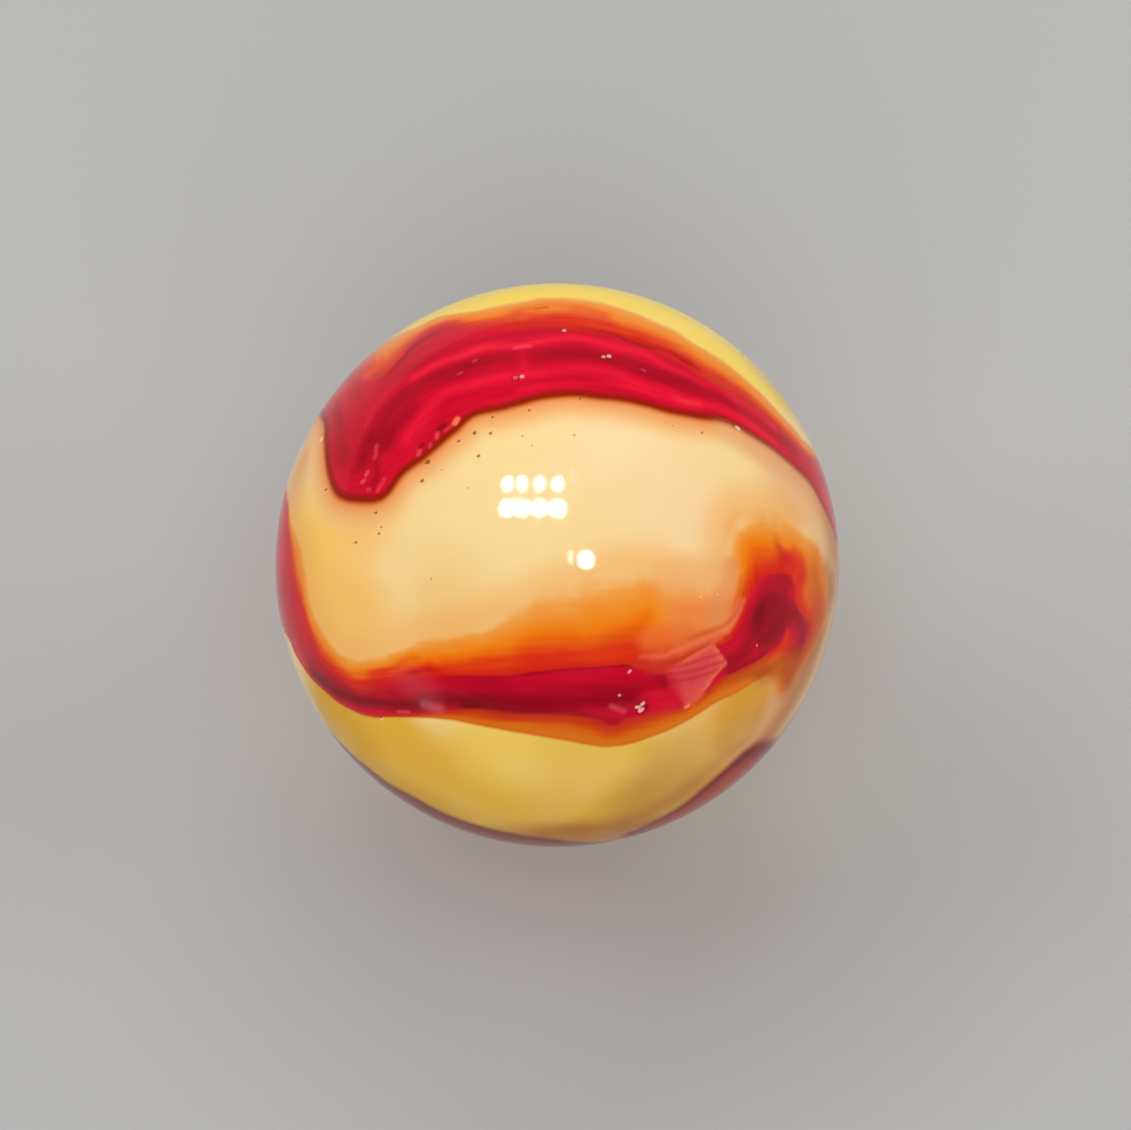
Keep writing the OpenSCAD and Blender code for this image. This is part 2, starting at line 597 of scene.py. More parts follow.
UPPER_TOP = [
    (7.3, 2.95, 0.12), (7.0, 3.05, 0.12), (6.5, 3.5, 0.15), (6.0, 3.97, 0.2), (5.5, 4.38, 0.22),
    (5.0, 4.76, 0.25), (4.5, 5.02, 0.28), (4.0, 5.28, 0.3), (3.5, 5.65, 0.35), (3.0, 5.9, 0.4),
    (2.5, 6.12, 0.4), (2.0, 6.3, 0.45), (1.5, 6.45, 0.45), (1.0, 6.55, 0.45), (0.5, 6.63, 0.45),
    (0.0, 6.67, 0.45), (-1.0, 6.67, 0.45), (-1.8, 6.62, 0.4), (-2.4, 6.6, 0.3), (-2.85, 6.66, 0.2),
    (-3.08, 6.68, 0.15), (-3.31, 6.62, 0.1), (-3.5, 6.55, 0.08), (-3.66, 6.45, 0.08),
    (-3.83, 6.34, 0.08), (-4.0, 6.2, 0.08), (-4.14, 6.03, 0.08), (-4.25, 5.85, 0.08),
    (-4.4, 5.69, 0.08), (-4.6, 5.48, 0.1), (-4.85, 5.3, 0.2), (-5.15, 5.3, 0.35),
    (-5.45, 5.4, 0.35),
]
UPPER_BEHIND_LEFT = [(-5.6, 5.6), (-5.0, 5.5), (-4.4, 5.2), (-5.1, 5.0), (-5.8, 4.8), (-6.3, 4.75)]
UPPER_ORANGE_TOP = [
    (7.3, 3.2), (7.0, 3.5), (6.5, 4.02), (6.0, 4.55), (5.5, 5.0), (5.0, 5.42), (4.5, 5.8),
    (4.0, 6.15), (3.5, 6.45), (3.0, 6.72), (2.0, 7.14), (1.0, 7.43), (0.0, 7.53), (-1.0, 7.42),
    (-2.0, 7.18), (-2.5, 7.12), (-3.0, 7.06), (-3.5, 6.93), (-4.0, 6.7), (-5.3, 6.0),
]
upper_red = (
    stretch(UPPER_EDGE) + stretch(UPPER_BEHIND_RIGHT, 0.15, side=-1)
    + stretch(UPPER_TOP) + stretch(UPPER_BEHIND_LEFT, 0.3, side=-1)
)
upper_orange = (
    stretch(UPPER_EDGE) + stretch(UPPER_BEHIND_RIGHT, 0.2, side=-1)
    + stretch(UPPER_ORANGE_TOP, 0.3) + stretch(UPPER_BEHIND_LEFT, 0.3, side=-1)
)
print("upper ribbon from", len(upper_red), "places, its orange from", len(upper_orange))

# %% [markdown]
# ### The lower ribbon
# It comes round the left side from behind, turns along the bottom of the face and swells into
# a dark blob on the right, under a hood of orange. Above it the red has bled into the cream as
# a broad orange glow.

# %% Outlines of the lower ribbon
LEFT_INNER = [
    (-7.6, 1.8), (-7.5, 1.0), (-7.43, 0.5), (-7.37, 0.0), (-7.27, -0.5), (-7.13, -1.0),
    (-6.97, -1.5), (-6.8, -2.0), (-6.55, -2.5), (-6.2, -2.85), (-5.9, -3.05),
]
LOWER_TOP = [
    (-5.5, -3.22, 0.4), (-5.0, -3.15, 0.4), (-4.5, -3.02, 0.4), (-4.0, -2.94, 0.35),
    (-3.5, -2.9, 0.25), (-3.0, -2.93, 0.15), (-2.0, -2.95, 0.1), (-1.5, -2.95, 0.1),
    (-1.0, -2.9, 0.1), (-0.6, -2.83, 0.1), (0.0, -2.78, 0.1), (0.5, -2.73, 0.1), (1.0, -2.7, 0.1),
    (1.5, -2.67, 0.1), (1.9, -2.64, 0.1), (2.2, -2.73, 0.15), (2.5, -2.8, 0.2), (2.85, -2.83, 0.2),
    (3.3, -2.65, 0.12), (3.7, -2.42, 0.1), (4.0, -2.28, 0.1), (4.4, -2.15, 0.1),
]
BLOB = [
    (4.7, -1.97), (4.88, -1.75), (5.05, -1.4), (5.17, -1.05), (5.33, -0.7), (5.48, -0.42),
    (5.72, -0.24), (6.0, -0.18), (6.3, -0.2), (6.5, -0.32), (6.57, -0.6), (6.58, -0.9),
    (6.66, -1.15), (6.83, -1.38), (7.04, -1.6), (7.05, -1.82), (6.95, -2.15), (6.7, -2.4),
    (6.5, -2.1), (6.35, -1.78), (6.27, -2.0), (6.1, -2.25), (5.8, -2.48), (5.45, -2.7),
    (5.1, -2.87), (4.85, -2.98),
]
LOWER_BOTTOM = [
    (4.55, -3.12, 0.15), (4.1, -3.5, 0.2), (3.5, -3.92, 0.2), (3.0, -4.05, 0.25), (2.5, -4.2, 0.3),
    (2.0, -4.35, 0.3), (1.5, -4.5, 0.3), (1.0, -4.33, 0.3), (0.5, -4.22, 0.3), (0.0, -4.18, 0.25),
    (-1.0, -4.12, 0.25), (-2.0, -4.03, 0.2), (-2.5, -4.0, 0.15), (-3.0, -4.02, 0.1),
    (-3.5, -4.05, 0.08), (-4.0, -4.1, 0.08), (-4.5, -4.14, 0.08), (-5.0, -4.15, 0.08),
    (-5.5, -4.06, 0.08), (-6.0, -3.83, 0.08), (-6.5, -3.46, 0.08), (-6.75, -3.26, 0.08),
    (-7.05, -2.9, 0.08),
]
LEFT_OUTER = [(-7.33, -2.45), (-7.55, -1.98), (-7.78, -1.75)]
LEFT_BEHIND = [(-7.9, -0.9), (-7.6, 0.3), (-7.3, 1.6), (-7.2, 2.6), (-7.5, 2.5)]
lower_red = (
    stretch(LEFT_INNER, 0.3) + stretch(LOWER_TOP, 0.1) + stretch(BLOB, 0.12)
    + stretch(LOWER_BOTTOM, 0.25) + stretch(LEFT_OUTER, 0.12) + stretch(LEFT_BEHIND, 0.2, side=-1)
)

GLOW_TOP = [
    (-7.55, 2.0, 0.3), (-7.3, 1.0, 0.3), (-7.02, 0.5, 0.3), (-6.93, 0.0, 0.3), (-6.87, -0.5, 0.3),
    (-6.8, -1.0, 0.3), (-6.6, -1.5, 0.3), (-6.3, -2.0, 0.3), (-5.8, -2.45, 0.3),
    (-5.0, -2.45, 0.35), (-4.5, -2.3, 0.4), (-4.0, -2.1, 0.4), (-3.5, -1.9, 0.45),
    (-3.0, -1.8, 0.5), (-2.5, -1.68, 0.5), (-2.0, -1.52, 0.5), (-1.5, -1.25, 0.6),
    (-1.0, -1.0, 0.6), (-0.5, -0.75, 0.6), (0.0, -0.55, 0.6), (0.5, -0.4, 0.6), (1.0, -0.22, 0.6),
    (1.5, -0.1, 0.6), (2.0, -0.02, 0.6), (2.5, -0.02, 0.6), (3.0, -0.25, 0.6), (3.5, -0.45, 0.6),
    (4.0, -0.4, 0.5), (4.35, -0.2, 0.45),
]
HOOD = [
    (4.5, 0.1, 0.4), (4.42, 0.5, 0.3), (4.45, 1.0, 0.3), (4.6, 1.35, 0.35), (4.9, 1.6, 0.4),
    (5.3, 1.68, 0.45), (5.8, 1.6, 0.5), (6.35, 1.4, 0.5), (6.85, 1.1, 0.5), (7.15, 0.75, 0.5),
    (7.35, 0.35, 0.5), (7.5, 0.0, 0.5), (7.62, -0.5, 0.5), (7.6, -1.2, 0.5), (7.45, -1.8, 0.4),
    (7.1, -2.4, 0.4), (6.85, -2.8, 0.5), (6.6, -3.2, 0.7), (6.35, -3.5, 0.9), (6.1, -3.7, 0.9),
    (5.85, -3.5, 0.9), (5.75, -3.2, 0.6), (5.7, -3.1, 0.3),
]
LOWER_EDGE = [
    (5.5, -3.18), (5.0, -3.48), (4.5, -3.7), (4.0, -3.99), (3.5, -4.3), (3.0, -4.54), (2.5, -4.72),
    (2.2, -4.82), (1.8, -4.93), (1.35, -4.97), (0.9, -4.92), (0.5, -4.84), (0.0, -4.74),
    (-0.5, -4.66), (-1.0, -4.57), (-1.5, -4.47), (-2.0, -4.37), (-2.5, -4.28), (-3.0, -4.21),
]
LEFT_EDGE = [
    (-3.5, -4.18), (-4.0, -4.18), (-4.5, -4.2), (-5.0, -4.21), (-5.25, -4.18), (-5.5, -4.12),
    (-5.75, -4.0), (-6.0, -3.87), (-6.25, -3.7), (-6.5, -3.5), (-6.75, -3.3), (-7.05, -2.95),
    (-7.35, -2.5), (-7.6, -2.0),
]
lower_orange = (
    stretch(GLOW_TOP) + stretch(HOOD) + stretch(LOWER_EDGE, 0.12) + stretch(LEFT_EDGE, 0.08)
    + stretch([(-7.8, -1.2), (-7.5, 0.3), (-7.2, 1.6), (-7.1, 2.8), (-7.4, 2.8)], 0.3, side=-1)
)
print("lower ribbon from", len(lower_red), "places, its orange from", len(lower_orange))

# %% [markdown]
# ### Ribbons underneath and behind
# A small ribbon crosses the lower right edge of the face, and a brown one the lower left. The
# far side is finished plainly: the ribbons run on round the ball as simple bands that thin
# out. Each row of a band is a place and the band's half width there. The small and the brown
# ribbon are outlines that close just over the edge, where a band takes over.

# %% Outlines of the small ribbons and the hidden bands
SMALL_FRONT = [
    (6.15, -4.98), (5.95, -4.92), (5.6, -4.95), (5.25, -5.15), (5.0, -5.37), (4.77, -5.58),
    (4.5, -5.82), (4.27, -6.03), (4.0, -6.26), (3.74, -6.5), (3.5, -6.7), (3.27, -6.86),
    (3.0, -7.02), (2.7, -7.18), (2.3, -7.4), (1.9, -7.6),
]
SMALL_BEHIND = [(2.3, -7.65), (3.5, -7.17), (4.7, -6.45), (5.6, -5.68), (6.25, -4.98)]
small = stretch(SMALL_FRONT) + stretch(SMALL_BEHIND, side=-1)
BROWN_FRONT = [
    (-6.45, -4.68), (-6.1, -5.0), (-5.7, -5.36), (-5.25, -5.7), (-4.75, -6.08), (-4.3, -6.32),
    (-3.9, -6.52), (-3.55, -6.72), (-3.0, -6.98), (-2.5, -7.17), (-2.0, -7.32), (-1.4, -7.46),
    (-0.65, -7.58), (0.0, -7.68), (0.8, -7.8), (1.6, -7.8),
]
BROWN_BEHIND = [(1.0, -7.7), (-1.5, -7.2), (-3.5, -6.5), (-5.0, -5.4), (-6.2, -4.8)]
brown = stretch(BROWN_FRONT, 0.45) + stretch(BROWN_BEHIND, 0.3, side=-1)
UNDER_BAND = stretch(
    [(6.25, -4.95, 0.2), (4.75, -6.42, 1.0), (3.0, -7.4, 1.0), (0.8, -7.9, 0.9),
     (-1.4, -7.6, 0.8), (-3.4, -6.7, 0.7), (-5.2, -5.3, 0.7), (-6.6, -3.4, 0.8),
     (-6.5, -1.2, 0.7), (-5.4, 0.4, 0.4), (-4.4, 1.4, 0.05)], side=-1)
RIGHT_BACK_BAND = stretch(
    [(7.8, 1.6, 0.6), (7.5, 0.6, 0.85), (6.9, -0.9, 1.0), (5.6, -2.2, 1.1), (3.6, -3.1, 1.1),
     (1.4, -3.2, 0.8), (-0.8, -2.6, 0.45), (-2.3, -1.8, 0.05)], side=-1)
LEFT_BACK_BAND = stretch(
    [(-7.55, 0.6, 0.9), (-6.95, 2.4, 1.15), (-5.5, 3.7, 1.1), (-3.0, 4.2, 0.9), (-0.8, 4.2, 0.6),
     (1.4, 3.6, 0.3), (2.8, 2.8, 0.05)], side=-1)
print("hidden bands from", len(UNDER_BAND + RIGHT_BACK_BAND + LEFT_BACK_BAND), "places")

# %% [markdown]
# A ribbon's red and the orange round it are each a region. For every corner the mesh keeps how
# deep it lies in the nearest one, in mm, and over how many mm the edge there is blurred. The
# small ribbon is kept as a share instead, which fades towards the far side.

# %% Depth in red, orange and brown glass
BAND_BLUR = 0.25
BAND_BLEED = 0.5  # how far the orange goes beyond a hidden band's red, mm
SMALL_BLUR = 0.45
SMALL_SPREAD = 0.3  # how far outside its outline the small ribbon begins, mm
SMALL_BACK, SMALL_FADE = 0.4, 1.4  # it ends this far behind the ball's middle and fades over this


def join(region, depth, blur):
    """Adds a region to one that is kept as [depth, blur]: the deeper of the two wins."""
    wins = depth > region[0]
    region[0] = np.where(wins, depth, region[0])
    region[1] = np.where(wins, blur, region[1])


red, orange = ([np.full(len(skin), FAR), np.zeros(len(skin))] for _ in range(2))
for rows in (upper_red, lower_red):
    join(red, *depth_in(rows))
for rows in (upper_orange, lower_orange):
    join(orange, *depth_in(rows))
for rows in (UNDER_BAND, RIGHT_BACK_BAND, LEFT_BACK_BAND):
    depth = depth_in_band(rows)
    join(red, depth, BAND_BLUR)
    join(orange, depth + BAND_BLEED, BAND_BLUR)
facing = skin @ OUT * R_MM  # mm each corner lies in front of the ball's middle
small_depth, _ = depth_in(small)
small_share = soft_step((small_depth + SMALL_SPREAD) / SMALL_BLUR)
small_share *= soft_step((facing + SMALL_BACK) / SMALL_FADE)
brown_depth, brown_blur = depth_in(brown)
brown_share = soft_step(0.5 + brown_depth / brown_blur)
print("red glass covers", round((red[0] > 0).mean() * 100), "% of the corners")

# %% [markdown]
# ### Streaks inside the ribbons
# Stirred glass keeps the stirring as streaks: thin sheets with more or less red in them, drawn
# out along the ribbon. Each streak is a soft brush stroke along a line. `tone` says how much
# lighter or darker the red is, and `warmth` how much redder or paler the orange is.

# %% Brush strokes along the upper ribbon
tone, warmth = np.zeros(len(skin)), np.zeros(len(skin))


def brush(layer, change, half_width, line):
    """Adds a soft stroke to a layer, strongest on the line and gone at about twice half_width."""
    rows = stretch(line, half_width)
    distance, _, half, _ = nearest_on(smooth_line(rows, closed=False), closed=False)
    layer += change * np.exp(-(distance / half) ** 2)


# dark sheet along the upper ribbon's middle
brush(tone, -0.22, 0.32, [
    (-4.9, 3.4), (-4.8, 3.8), (-4.65, 4.15), (-4.45, 4.4), (-4.15, 4.65), (-3.8, 4.9), (-3.3, 5.15),
    (-3.0, 5.25), (-2.5, 5.42), (-2.0, 5.55), (-1.5, 5.7), (-1.0, 5.7), (-0.5, 5.72), (0.0, 5.77),
    (0.5, 5.85), (1.0, 5.8), (1.5, 5.67), (2.0, 5.53), (2.5, 5.27), (3.0, 5.1), (3.5, 4.98),
    (4.0, 4.77), (4.5, 4.6), (5.0, 4.3), (5.5, 4.05), (6.0, 3.67), (6.5, 3.35)])
# bright sheet above it
brush(tone, 0.26, 0.2, [
    (-3.9, 5.15), (-3.5, 5.4), (-3.1, 5.6), (-2.7, 5.73), (-2.0, 5.97), (-1.2, 6.02), (-0.6, 6.1),
    (0.0, 6.2), (0.5, 6.23), (1.0, 6.15), (1.5, 6.02), (2.0, 5.9), (2.5, 5.76), (3.0, 5.46),
    (3.5, 5.25), (4.0, 5.0), (4.5, 4.82), (5.0, 4.5), (5.5, 4.17), (6.0, 3.83)])
# thin dark sheets near the top edge
for stroked, change in ((tone, -0.35), (warmth, 0.1)):
    brush(stroked, change, 0.08, [
        (0.7, 6.52), (1.0, 6.47), (1.5, 6.37), (2.0, 6.17), (2.5, 6.0), (3.0, 5.95), (3.5, 5.65),
        (3.9, 5.4)])
# bright sheet under the dark one
brush(tone, 0.22, 0.2, [
    (-4.1, 3.45), (-3.85, 3.8), (-3.6, 4.15), (-3.2, 4.55), (-3.0, 4.7), (-2.5, 4.85),
    (-2.0, 5.0), (-1.5, 5.1), (-0.5, 5.25), (0.0, 5.32), (0.5, 5.35), (1.0, 5.32), (1.5, 5.28),
    (2.0, 5.1), (2.5, 4.95), (3.0, 4.8), (3.5, 4.5), (4.0, 4.45), (4.5, 4.33), (5.0, 4.05),
    (5.5, 3.75), (6.0, 3.4)])
# lighter glass along the cut, right of the middle
brush(tone, 0.14, 0.12, [
    (-1.0, 4.75), (0.0, 4.93), (1.0, 4.95), (1.6, 4.9), (2.4, 4.72), (3.2, 4.5), (3.9, 4.38)])
# upright crease in it
brush(tone, 0.15, 0.13, [(-0.95, 5.9), (-0.92, 5.7), (-0.9, 5.5)])
# dark left side of the tongue, and the dark crease over its shoulder
brush(tone, -0.16, 0.3, [(-6.15, 4.5), (-6.0, 3.8), (-5.85, 3.0)])
brush(tone, -0.2, 0.27, [(-5.35, 2.85), (-5.25, 3.2), (-5.1, 3.5)])
brush(tone, -0.25, 0.12, [(-5.02, 2.2), (-4.92, 2.5), (-4.95, 2.75)])
brush(tone, -0.2, 0.28, [(-4.6, 3.35), (-4.45, 3.7), (-4.25, 4.0), (-4.0, 4.25)])
brush(tone, -0.3, 0.08, [
    (-4.7, 5.3), (-4.4, 5.58), (-4.2, 5.82), (-4.0, 6.05), (-3.7, 6.25), (-3.4, 6.42)])
brush(warmth, 0.15, 0.06, [(-3.75, 6.45), (-3.5, 6.6), (-3.3, 6.68), (-3.1, 6.75)])
# redder orange along the top edge
brush(warmth, 0.2, 0.3, [(-1.1, 7.05), (-0.5, 7.2), (0.0, 7.25), (0.7, 7.15), (1.3, 6.98)])
brush(warmth, 0.12, 0.2, [(-0.6, 6.88), (0.3, 6.88), (1.0, 6.8), (1.5, 6.66)])
brush(warmth, 0.12, 0.15, [(3.6, 5.6), (4.1, 5.4), (4.6, 5.15)])
print("upper ribbon's tone from", tone.min().round(2), "to", tone.max().round(2))

# %% [markdown]
# The lower ribbon is darkest along its core and in the heart of the blob.

# %% Brush strokes along the lower ribbon
# the dark core, its darker left part and its edge lines
brush(tone, -0.13, 0.6, [
    (-6.8, -2.7), (-6.2, -3.2), (-5.5, -3.55), (-4.0, -3.5), (-2.0, -3.45), (0.0, -3.4),
    (2.0, -3.45)])
brush(tone, -0.28, 0.26, [
    (-3.6, -3.62), (-3.0, -3.68), (-2.0, -3.7), (-1.0, -3.7), (0.0, -3.75), (1.0, -3.7),
    (2.0, -3.6)])
brush(tone, -0.25, 0.12, [
    (-2.5, -3.88), (-1.0, -3.96), (0.0, -4.02), (0.6, -4.05), (1.1, -4.18), (1.6, -4.3)])
brush(tone, -0.42, 0.2, [
    (-6.8, -3.0), (-6.4, -3.32), (-6.0, -3.58), (-5.5, -3.72), (-5.0, -3.8), (-4.5, -3.82),
    (-3.9, -3.82), (-3.6, -3.84)])
brush(tone, 0.1, 0.08, [(-5.5, -3.5), (-5.0, -3.54), (-4.6, -3.58)])
brush(tone, 0.14, 0.05, [(-5.3, -4.0), (-4.83, -4.05), (-4.3, -4.03)])
brush(tone, -0.25, 0.06, [
    (-3.2, -2.97), (-2.0, -2.99), (-1.0, -2.94), (0.0, -2.82), (1.0, -2.74), (1.9, -2.68)])
# the thin bright line along the blob's left edge, its dark foot and the burnt spike at its right
brush(tone, 0.1, 0.06, [(5.2, -1.15), (5.35, -0.8), (5.5, -0.5), (5.75, -0.3)])
brush(tone, -0.3, 0.3, [(4.75, -2.6), (5.1, -2.35), (5.3, -1.9), (5.45, -1.4)])
brush(tone, -0.15, 0.35, [(5.7, -0.8), (6.0, -0.45), (6.35, -0.5)])
brush(tone, -0.3, 0.15, [(4.75, -2.95), (5.2, -2.75), (5.7, -2.45)])
brush(tone, -0.32, 0.3, [(6.62, -1.35), (6.8, -1.75), (6.75, -2.1)])

# the blob's dark heart
HEART = [
    (5.6, -0.95), (5.85, -0.82), (6.2, -0.82), (6.4, -1.0), (6.48, -1.3), (6.38, -1.65),
    (6.2, -1.95), (5.9, -2.2), (5.6, -2.25), (5.45, -2.0), (5.42, -1.6), (5.48, -1.2),
]
HEART_BLUR, HEART_DARK = 0.5, 0.35
heart, _ = depth_in(stretch(HEART))
tone -= HEART_DARK * soft_step(0.5 + heart / HEART_BLUR)
print("tone runs from", tone.min().round(2), "to", tone.max().round(2))

# %% [markdown]
# The glow over the ribbon and the hood round the blob are orange with redder and paler strokes.
# The finest lines there are kept in layers of their own, `crease` and `gleam`, which the
# material lays over everything else.

# %% Brush strokes in the glow and the hood
# the glow: a dark line close to the ribbon, orange further up, two darker clouds
brush(warmth, 0.07, 0.1, [
    (-3.5, -2.8), (-3.0, -2.78), (-2.0, -2.62), (-1.0, -2.5), (0.0, -2.42), (0.7, -2.33),
    (1.5, -2.22), (2.2, -2.2)])
brush(warmth, 0.06, 0.3, [
    (-2.5, -2.2), (-2.0, -2.1), (-1.5, -2.0), (-1.0, -1.9), (-0.5, -1.8), (0.0, -1.7),
    (0.3, -1.65)])
brush(warmth, 0.13, 0.35, [(2.6, -0.85), (2.5, -1.25)])
brush(warmth, 0.06, 0.4, [(2.4, -1.45), (2.0, -1.8)])
# wisps where the glow begins at the left, and the brown crease over it
brush(warmth, 0.1, 0.1, [
    (-5.1, -2.97), (-4.85, -2.9), (-4.5, -2.78), (-4.25, -2.65), (-4.0, -2.5), (-3.75, -2.45)])
brush(warmth, -0.06, 0.1, [(-5.3, -2.8), (-4.9, -2.7), (-4.5, -2.55), (-4.15, -2.4)])
brush(warmth, 0.1, 0.08, [(-4.05, -2.95), (-3.85, -2.9), (-3.6, -2.77), (-3.4, -2.66)])
brush(warmth, -0.06, 0.08, [(-4.6, -2.98), (-4.2, -2.85), (-3.9, -2.68), (-3.6, -2.58)])
brush(warmth, 0.08, 0.07, [
    (-3.55, -2.34), (-3.25, -2.25), (-2.97, -2.17), (-2.6, -2.1), (-2.2, -2.02)])
brush(warmth, -0.05, 0.07, [(-2.9, -2.8), (-2.3, -2.78), (-1.6, -2.72), (-1.0, -2.65)])
# thin dark creases and pale lines beside the blob and over the patch, laid over everything else
crease, gleam = np.zeros(len(skin)), np.zeros(len(skin))
brush(crease, 0.45, 0.065, [
    (5.2, -0.45), (5.08, -0.8), (5.0, -1.1), (4.85, -1.38), (4.6, -1.62), (4.3, -1.75),
    (3.95, -1.88), (3.6, -2.0)])
brush(crease, 0.3, 0.07, [(5.02, -0.3), (4.98, -0.55), (4.93, -0.85)])
brush(crease, 0.4, 0.06, [(2.95, -2.72), (3.3, -2.52), (3.7, -2.33), (4.1, -2.14)])
brush(gleam, 0.45, 0.07, [
    (5.1, -0.95), (4.98, -1.3), (4.8, -1.58), (4.5, -1.8), (4.1, -1.98), (3.6, -2.18),
    (3.1, -2.35)])
brush(gleam, 0.35, 0.07, [(2.3, -2.5), (2.7, -2.5), (3.0, -2.45)])
# the hood: pale along its top, a crease in the middle, burnt brown round the blob and down its tail
brush(warmth, -0.16, 0.25, [(4.75, 0.4), (4.85, 0.85), (5.0, 1.0)])
brush(warmth, -0.09, 0.25, [(5.15, 1.05), (5.6, 1.1), (6.1, 1.05)])
brush(warmth, 0.03, 0.2, [(5.2, 0.3), (5.5, 0.45), (5.8, 0.5)])
brush(warmth, 0.07, 0.13, [(6.0, 0.75), (6.12, 0.5)])
brush(warmth, 0.12, 0.14, [(6.05, 0.55), (6.2, 0.3), (6.5, 0.02)])
brush(warmth, 0.18, 0.3, [(6.2, 0.15), (6.5, 0.2), (6.72, 0.0), (6.78, -0.3)])
brush(warmth, -0.1, 0.2, [(6.85, -0.55), (6.9, -0.9), (7.0, -1.1)])
brush(warmth, 0.28, 0.5, [(7.25, 0.35), (7.35, -0.1), (7.4, -0.7), (7.35, -1.4), (7.2, -2.0)])
brush(warmth, 0.3, 0.3, [(6.35, -2.45), (6.6, -2.6), (6.8, -2.5)])
brush(warmth, 0.1, 0.25, [(6.55, 0.45), (6.8, 0.2)])
print("warmth runs from", warmth.min().round(2), "to", warmth.max().round(2))

# %% [markdown]
# ### Burnt glass, painted rim shade and halo
# Where the orange got hottest it burnt to brown: down the hood's tail and under the blob. A
# brown painted shade lies over the cream along the right rim, where the ball turns away from
# the light, and thins out behind in a wavy front. A faint orange halo lies round the tongue
# and over the lower ribbon's orange.

# %% Brush strokes for burnt glass, painted rim shade and halo
burnt, rim_shade = np.zeros(len(skin)), np.zeros(len(skin))
brush(burnt, 0.5, 0.35, [(7.5, -0.1), (7.58, -0.45), (7.58, -0.9), (7.5, -1.3)])
brush(burnt, 0.3, 0.15, [(6.0, 0.65), (6.2, 0.35)])
brush(burnt, 0.22, 0.5, [(6.15, -3.4), (5.95, -3.8), (5.8, -4.1)])
brush(burnt, 0.8, 0.5, [(6.95, -2.35), (6.78, -2.7), (6.55, -3.0), (6.45, -3.25)])
brush(burnt, 0.7, 0.35, [(5.7, -2.95), (6.1, -2.95), (6.4, -2.85)])
brush(burnt, 0.5, 0.22, [(5.65, -2.88), (6.0, -2.7), (6.4, -2.5)])
brush(burnt, 0.6, 0.45, [(7.15, -0.2), (7.25, -0.8), (7.3, -1.4), (7.3, -2.0)])
brush(burnt, 0.8, 0.12, [(4.7, -3.2), (5.2, -3.02), (5.65, -2.88)])
# Each stroke of painted rim shade: strength, half width and line; where two meet the stronger one
# counts
RIM_SHADES = [
    (0.8, 1.3, [(7.65, 1.8), (7.72, 1.4), (7.78, 0.8), (7.8, 0.4)]),
    (0.85, 1.2, [
        (7.7, -0.6), (7.5, -1.2), (7.3, -2.0), (7.0, -2.9), (6.6, -3.7), (6.1, -4.5), (5.7, -5.0)]),
    (0.85, 1.3, [
        (7.95, -0.3), (7.9, -1.2), (7.7, -2.1), (7.4, -3.0), (6.95, -3.95), (6.35, -4.8),
        (5.9, -5.3)]),
    (0.45, 0.5, [(5.7, -4.6), (5.0, -5.15), (4.2, -5.75), (3.5, -6.3), (2.7, -6.8), (1.9, -7.1)]),
]
# painted shade along the right rim, where the ball turns away from the light
for strength, half_width, line in RIM_SHADES:
    stroke = np.zeros(len(skin))
    brush(stroke, strength, half_width, line)
    rim_shade = np.maximum(rim_shade, stroke)
RIM_SHADE_BACK, RIM_SHADE_FADE = 3.2, 4.5  # it ends this far behind the ball's middle, and fades over this
RIM_SHADE_WAVES = [(0, 11, 1.0), (2, 17, 0.7)]  # axis, waves round the ball and their height in mm
front = facing + RIM_SHADE_BACK
for axis, waves, height in RIM_SHADE_WAVES:
    front = front + height * np.sin(skin[:, axis] * waves)
rim_shade *= soft_step(front / RIM_SHADE_FADE)

halo = np.zeros(len(skin))
brush(halo, 0.55, 0.3, [
    (-6.75, 4.0), (-6.7, 3.2), (-6.6, 2.4), (-6.35, 1.9), (-6.0, 1.6), (-5.5, 1.5), (-5.0, 1.55),
    (-4.6, 1.85), (-4.35, 2.2)])
HALO_REACH, HALO_SHARE = 1.1, 0.55  # mm beyond the lower ribbon's orange, and strength at its edge
HOOD_TOP = 8  # so many of the hood's places are its top
glow_line = smooth_line(stretch(GLOW_TOP + HOOD[:HOOD_TOP]), closed=False)
glow_off, _, _, _ = nearest_on(glow_line, closed=False)
halo = np.maximum(halo, HALO_SHARE * soft_step(1 - glow_off / HALO_REACH))
print("haze covers", round((rim_shade > 0.1).mean() * 100), "% of the corners")

# %% [markdown]
# ### The pink patch
# Between the ribbon's middle and the blob lies a crisp pink patch, lighter than the red,
# with darker threads fanning through it. A place that its outline names twice is a sharp
# corner.

# %% The patch and its threads
PATCH = [
    (2.9, -2.78, 0.4), (3.5, -2.5, 0.1), (4.0, -2.24, 0.07), (4.28, -2.12, 0.05),
    (4.28, -2.12, 0.05), (4.48, -2.4, 0.05), (4.68, -2.68, 0.05), (4.68, -2.68, 0.05),
    (4.3, -3.1, 0.05), (4.1, -3.38, 0.05), (3.9, -3.62, 0.05), (3.52, -3.95, 0.1),
    (3.35, -3.75, 0.3), (3.05, -3.35, 0.6), (2.9, -3.1, 0.6),
]
THREADS = [
    [(3.0, -2.8), (3.5, -2.72), (4.0, -2.55), (4.5, -2.4)],
    [(3.05, -2.95), (3.5, -2.92), (4.0, -2.8), (4.6, -2.6)],
    [(3.1, -3.15), (3.5, -3.12), (4.0, -3.0), (4.4, -2.85)],
]
patch, patch_blur = depth_in(stretch(PATCH))
patch_share = soft_step(patch / patch_blur)
threads = np.zeros(len(skin))
for thread in THREADS:
    brush(threads, 1.0, 0.05, thread)
brush(tone, -0.2, 0.16, [(2.7, -2.9), (2.85, -3.1), (2.9, -3.3)])
print("patch covers", (patch_share > 0).sum(), "corners")

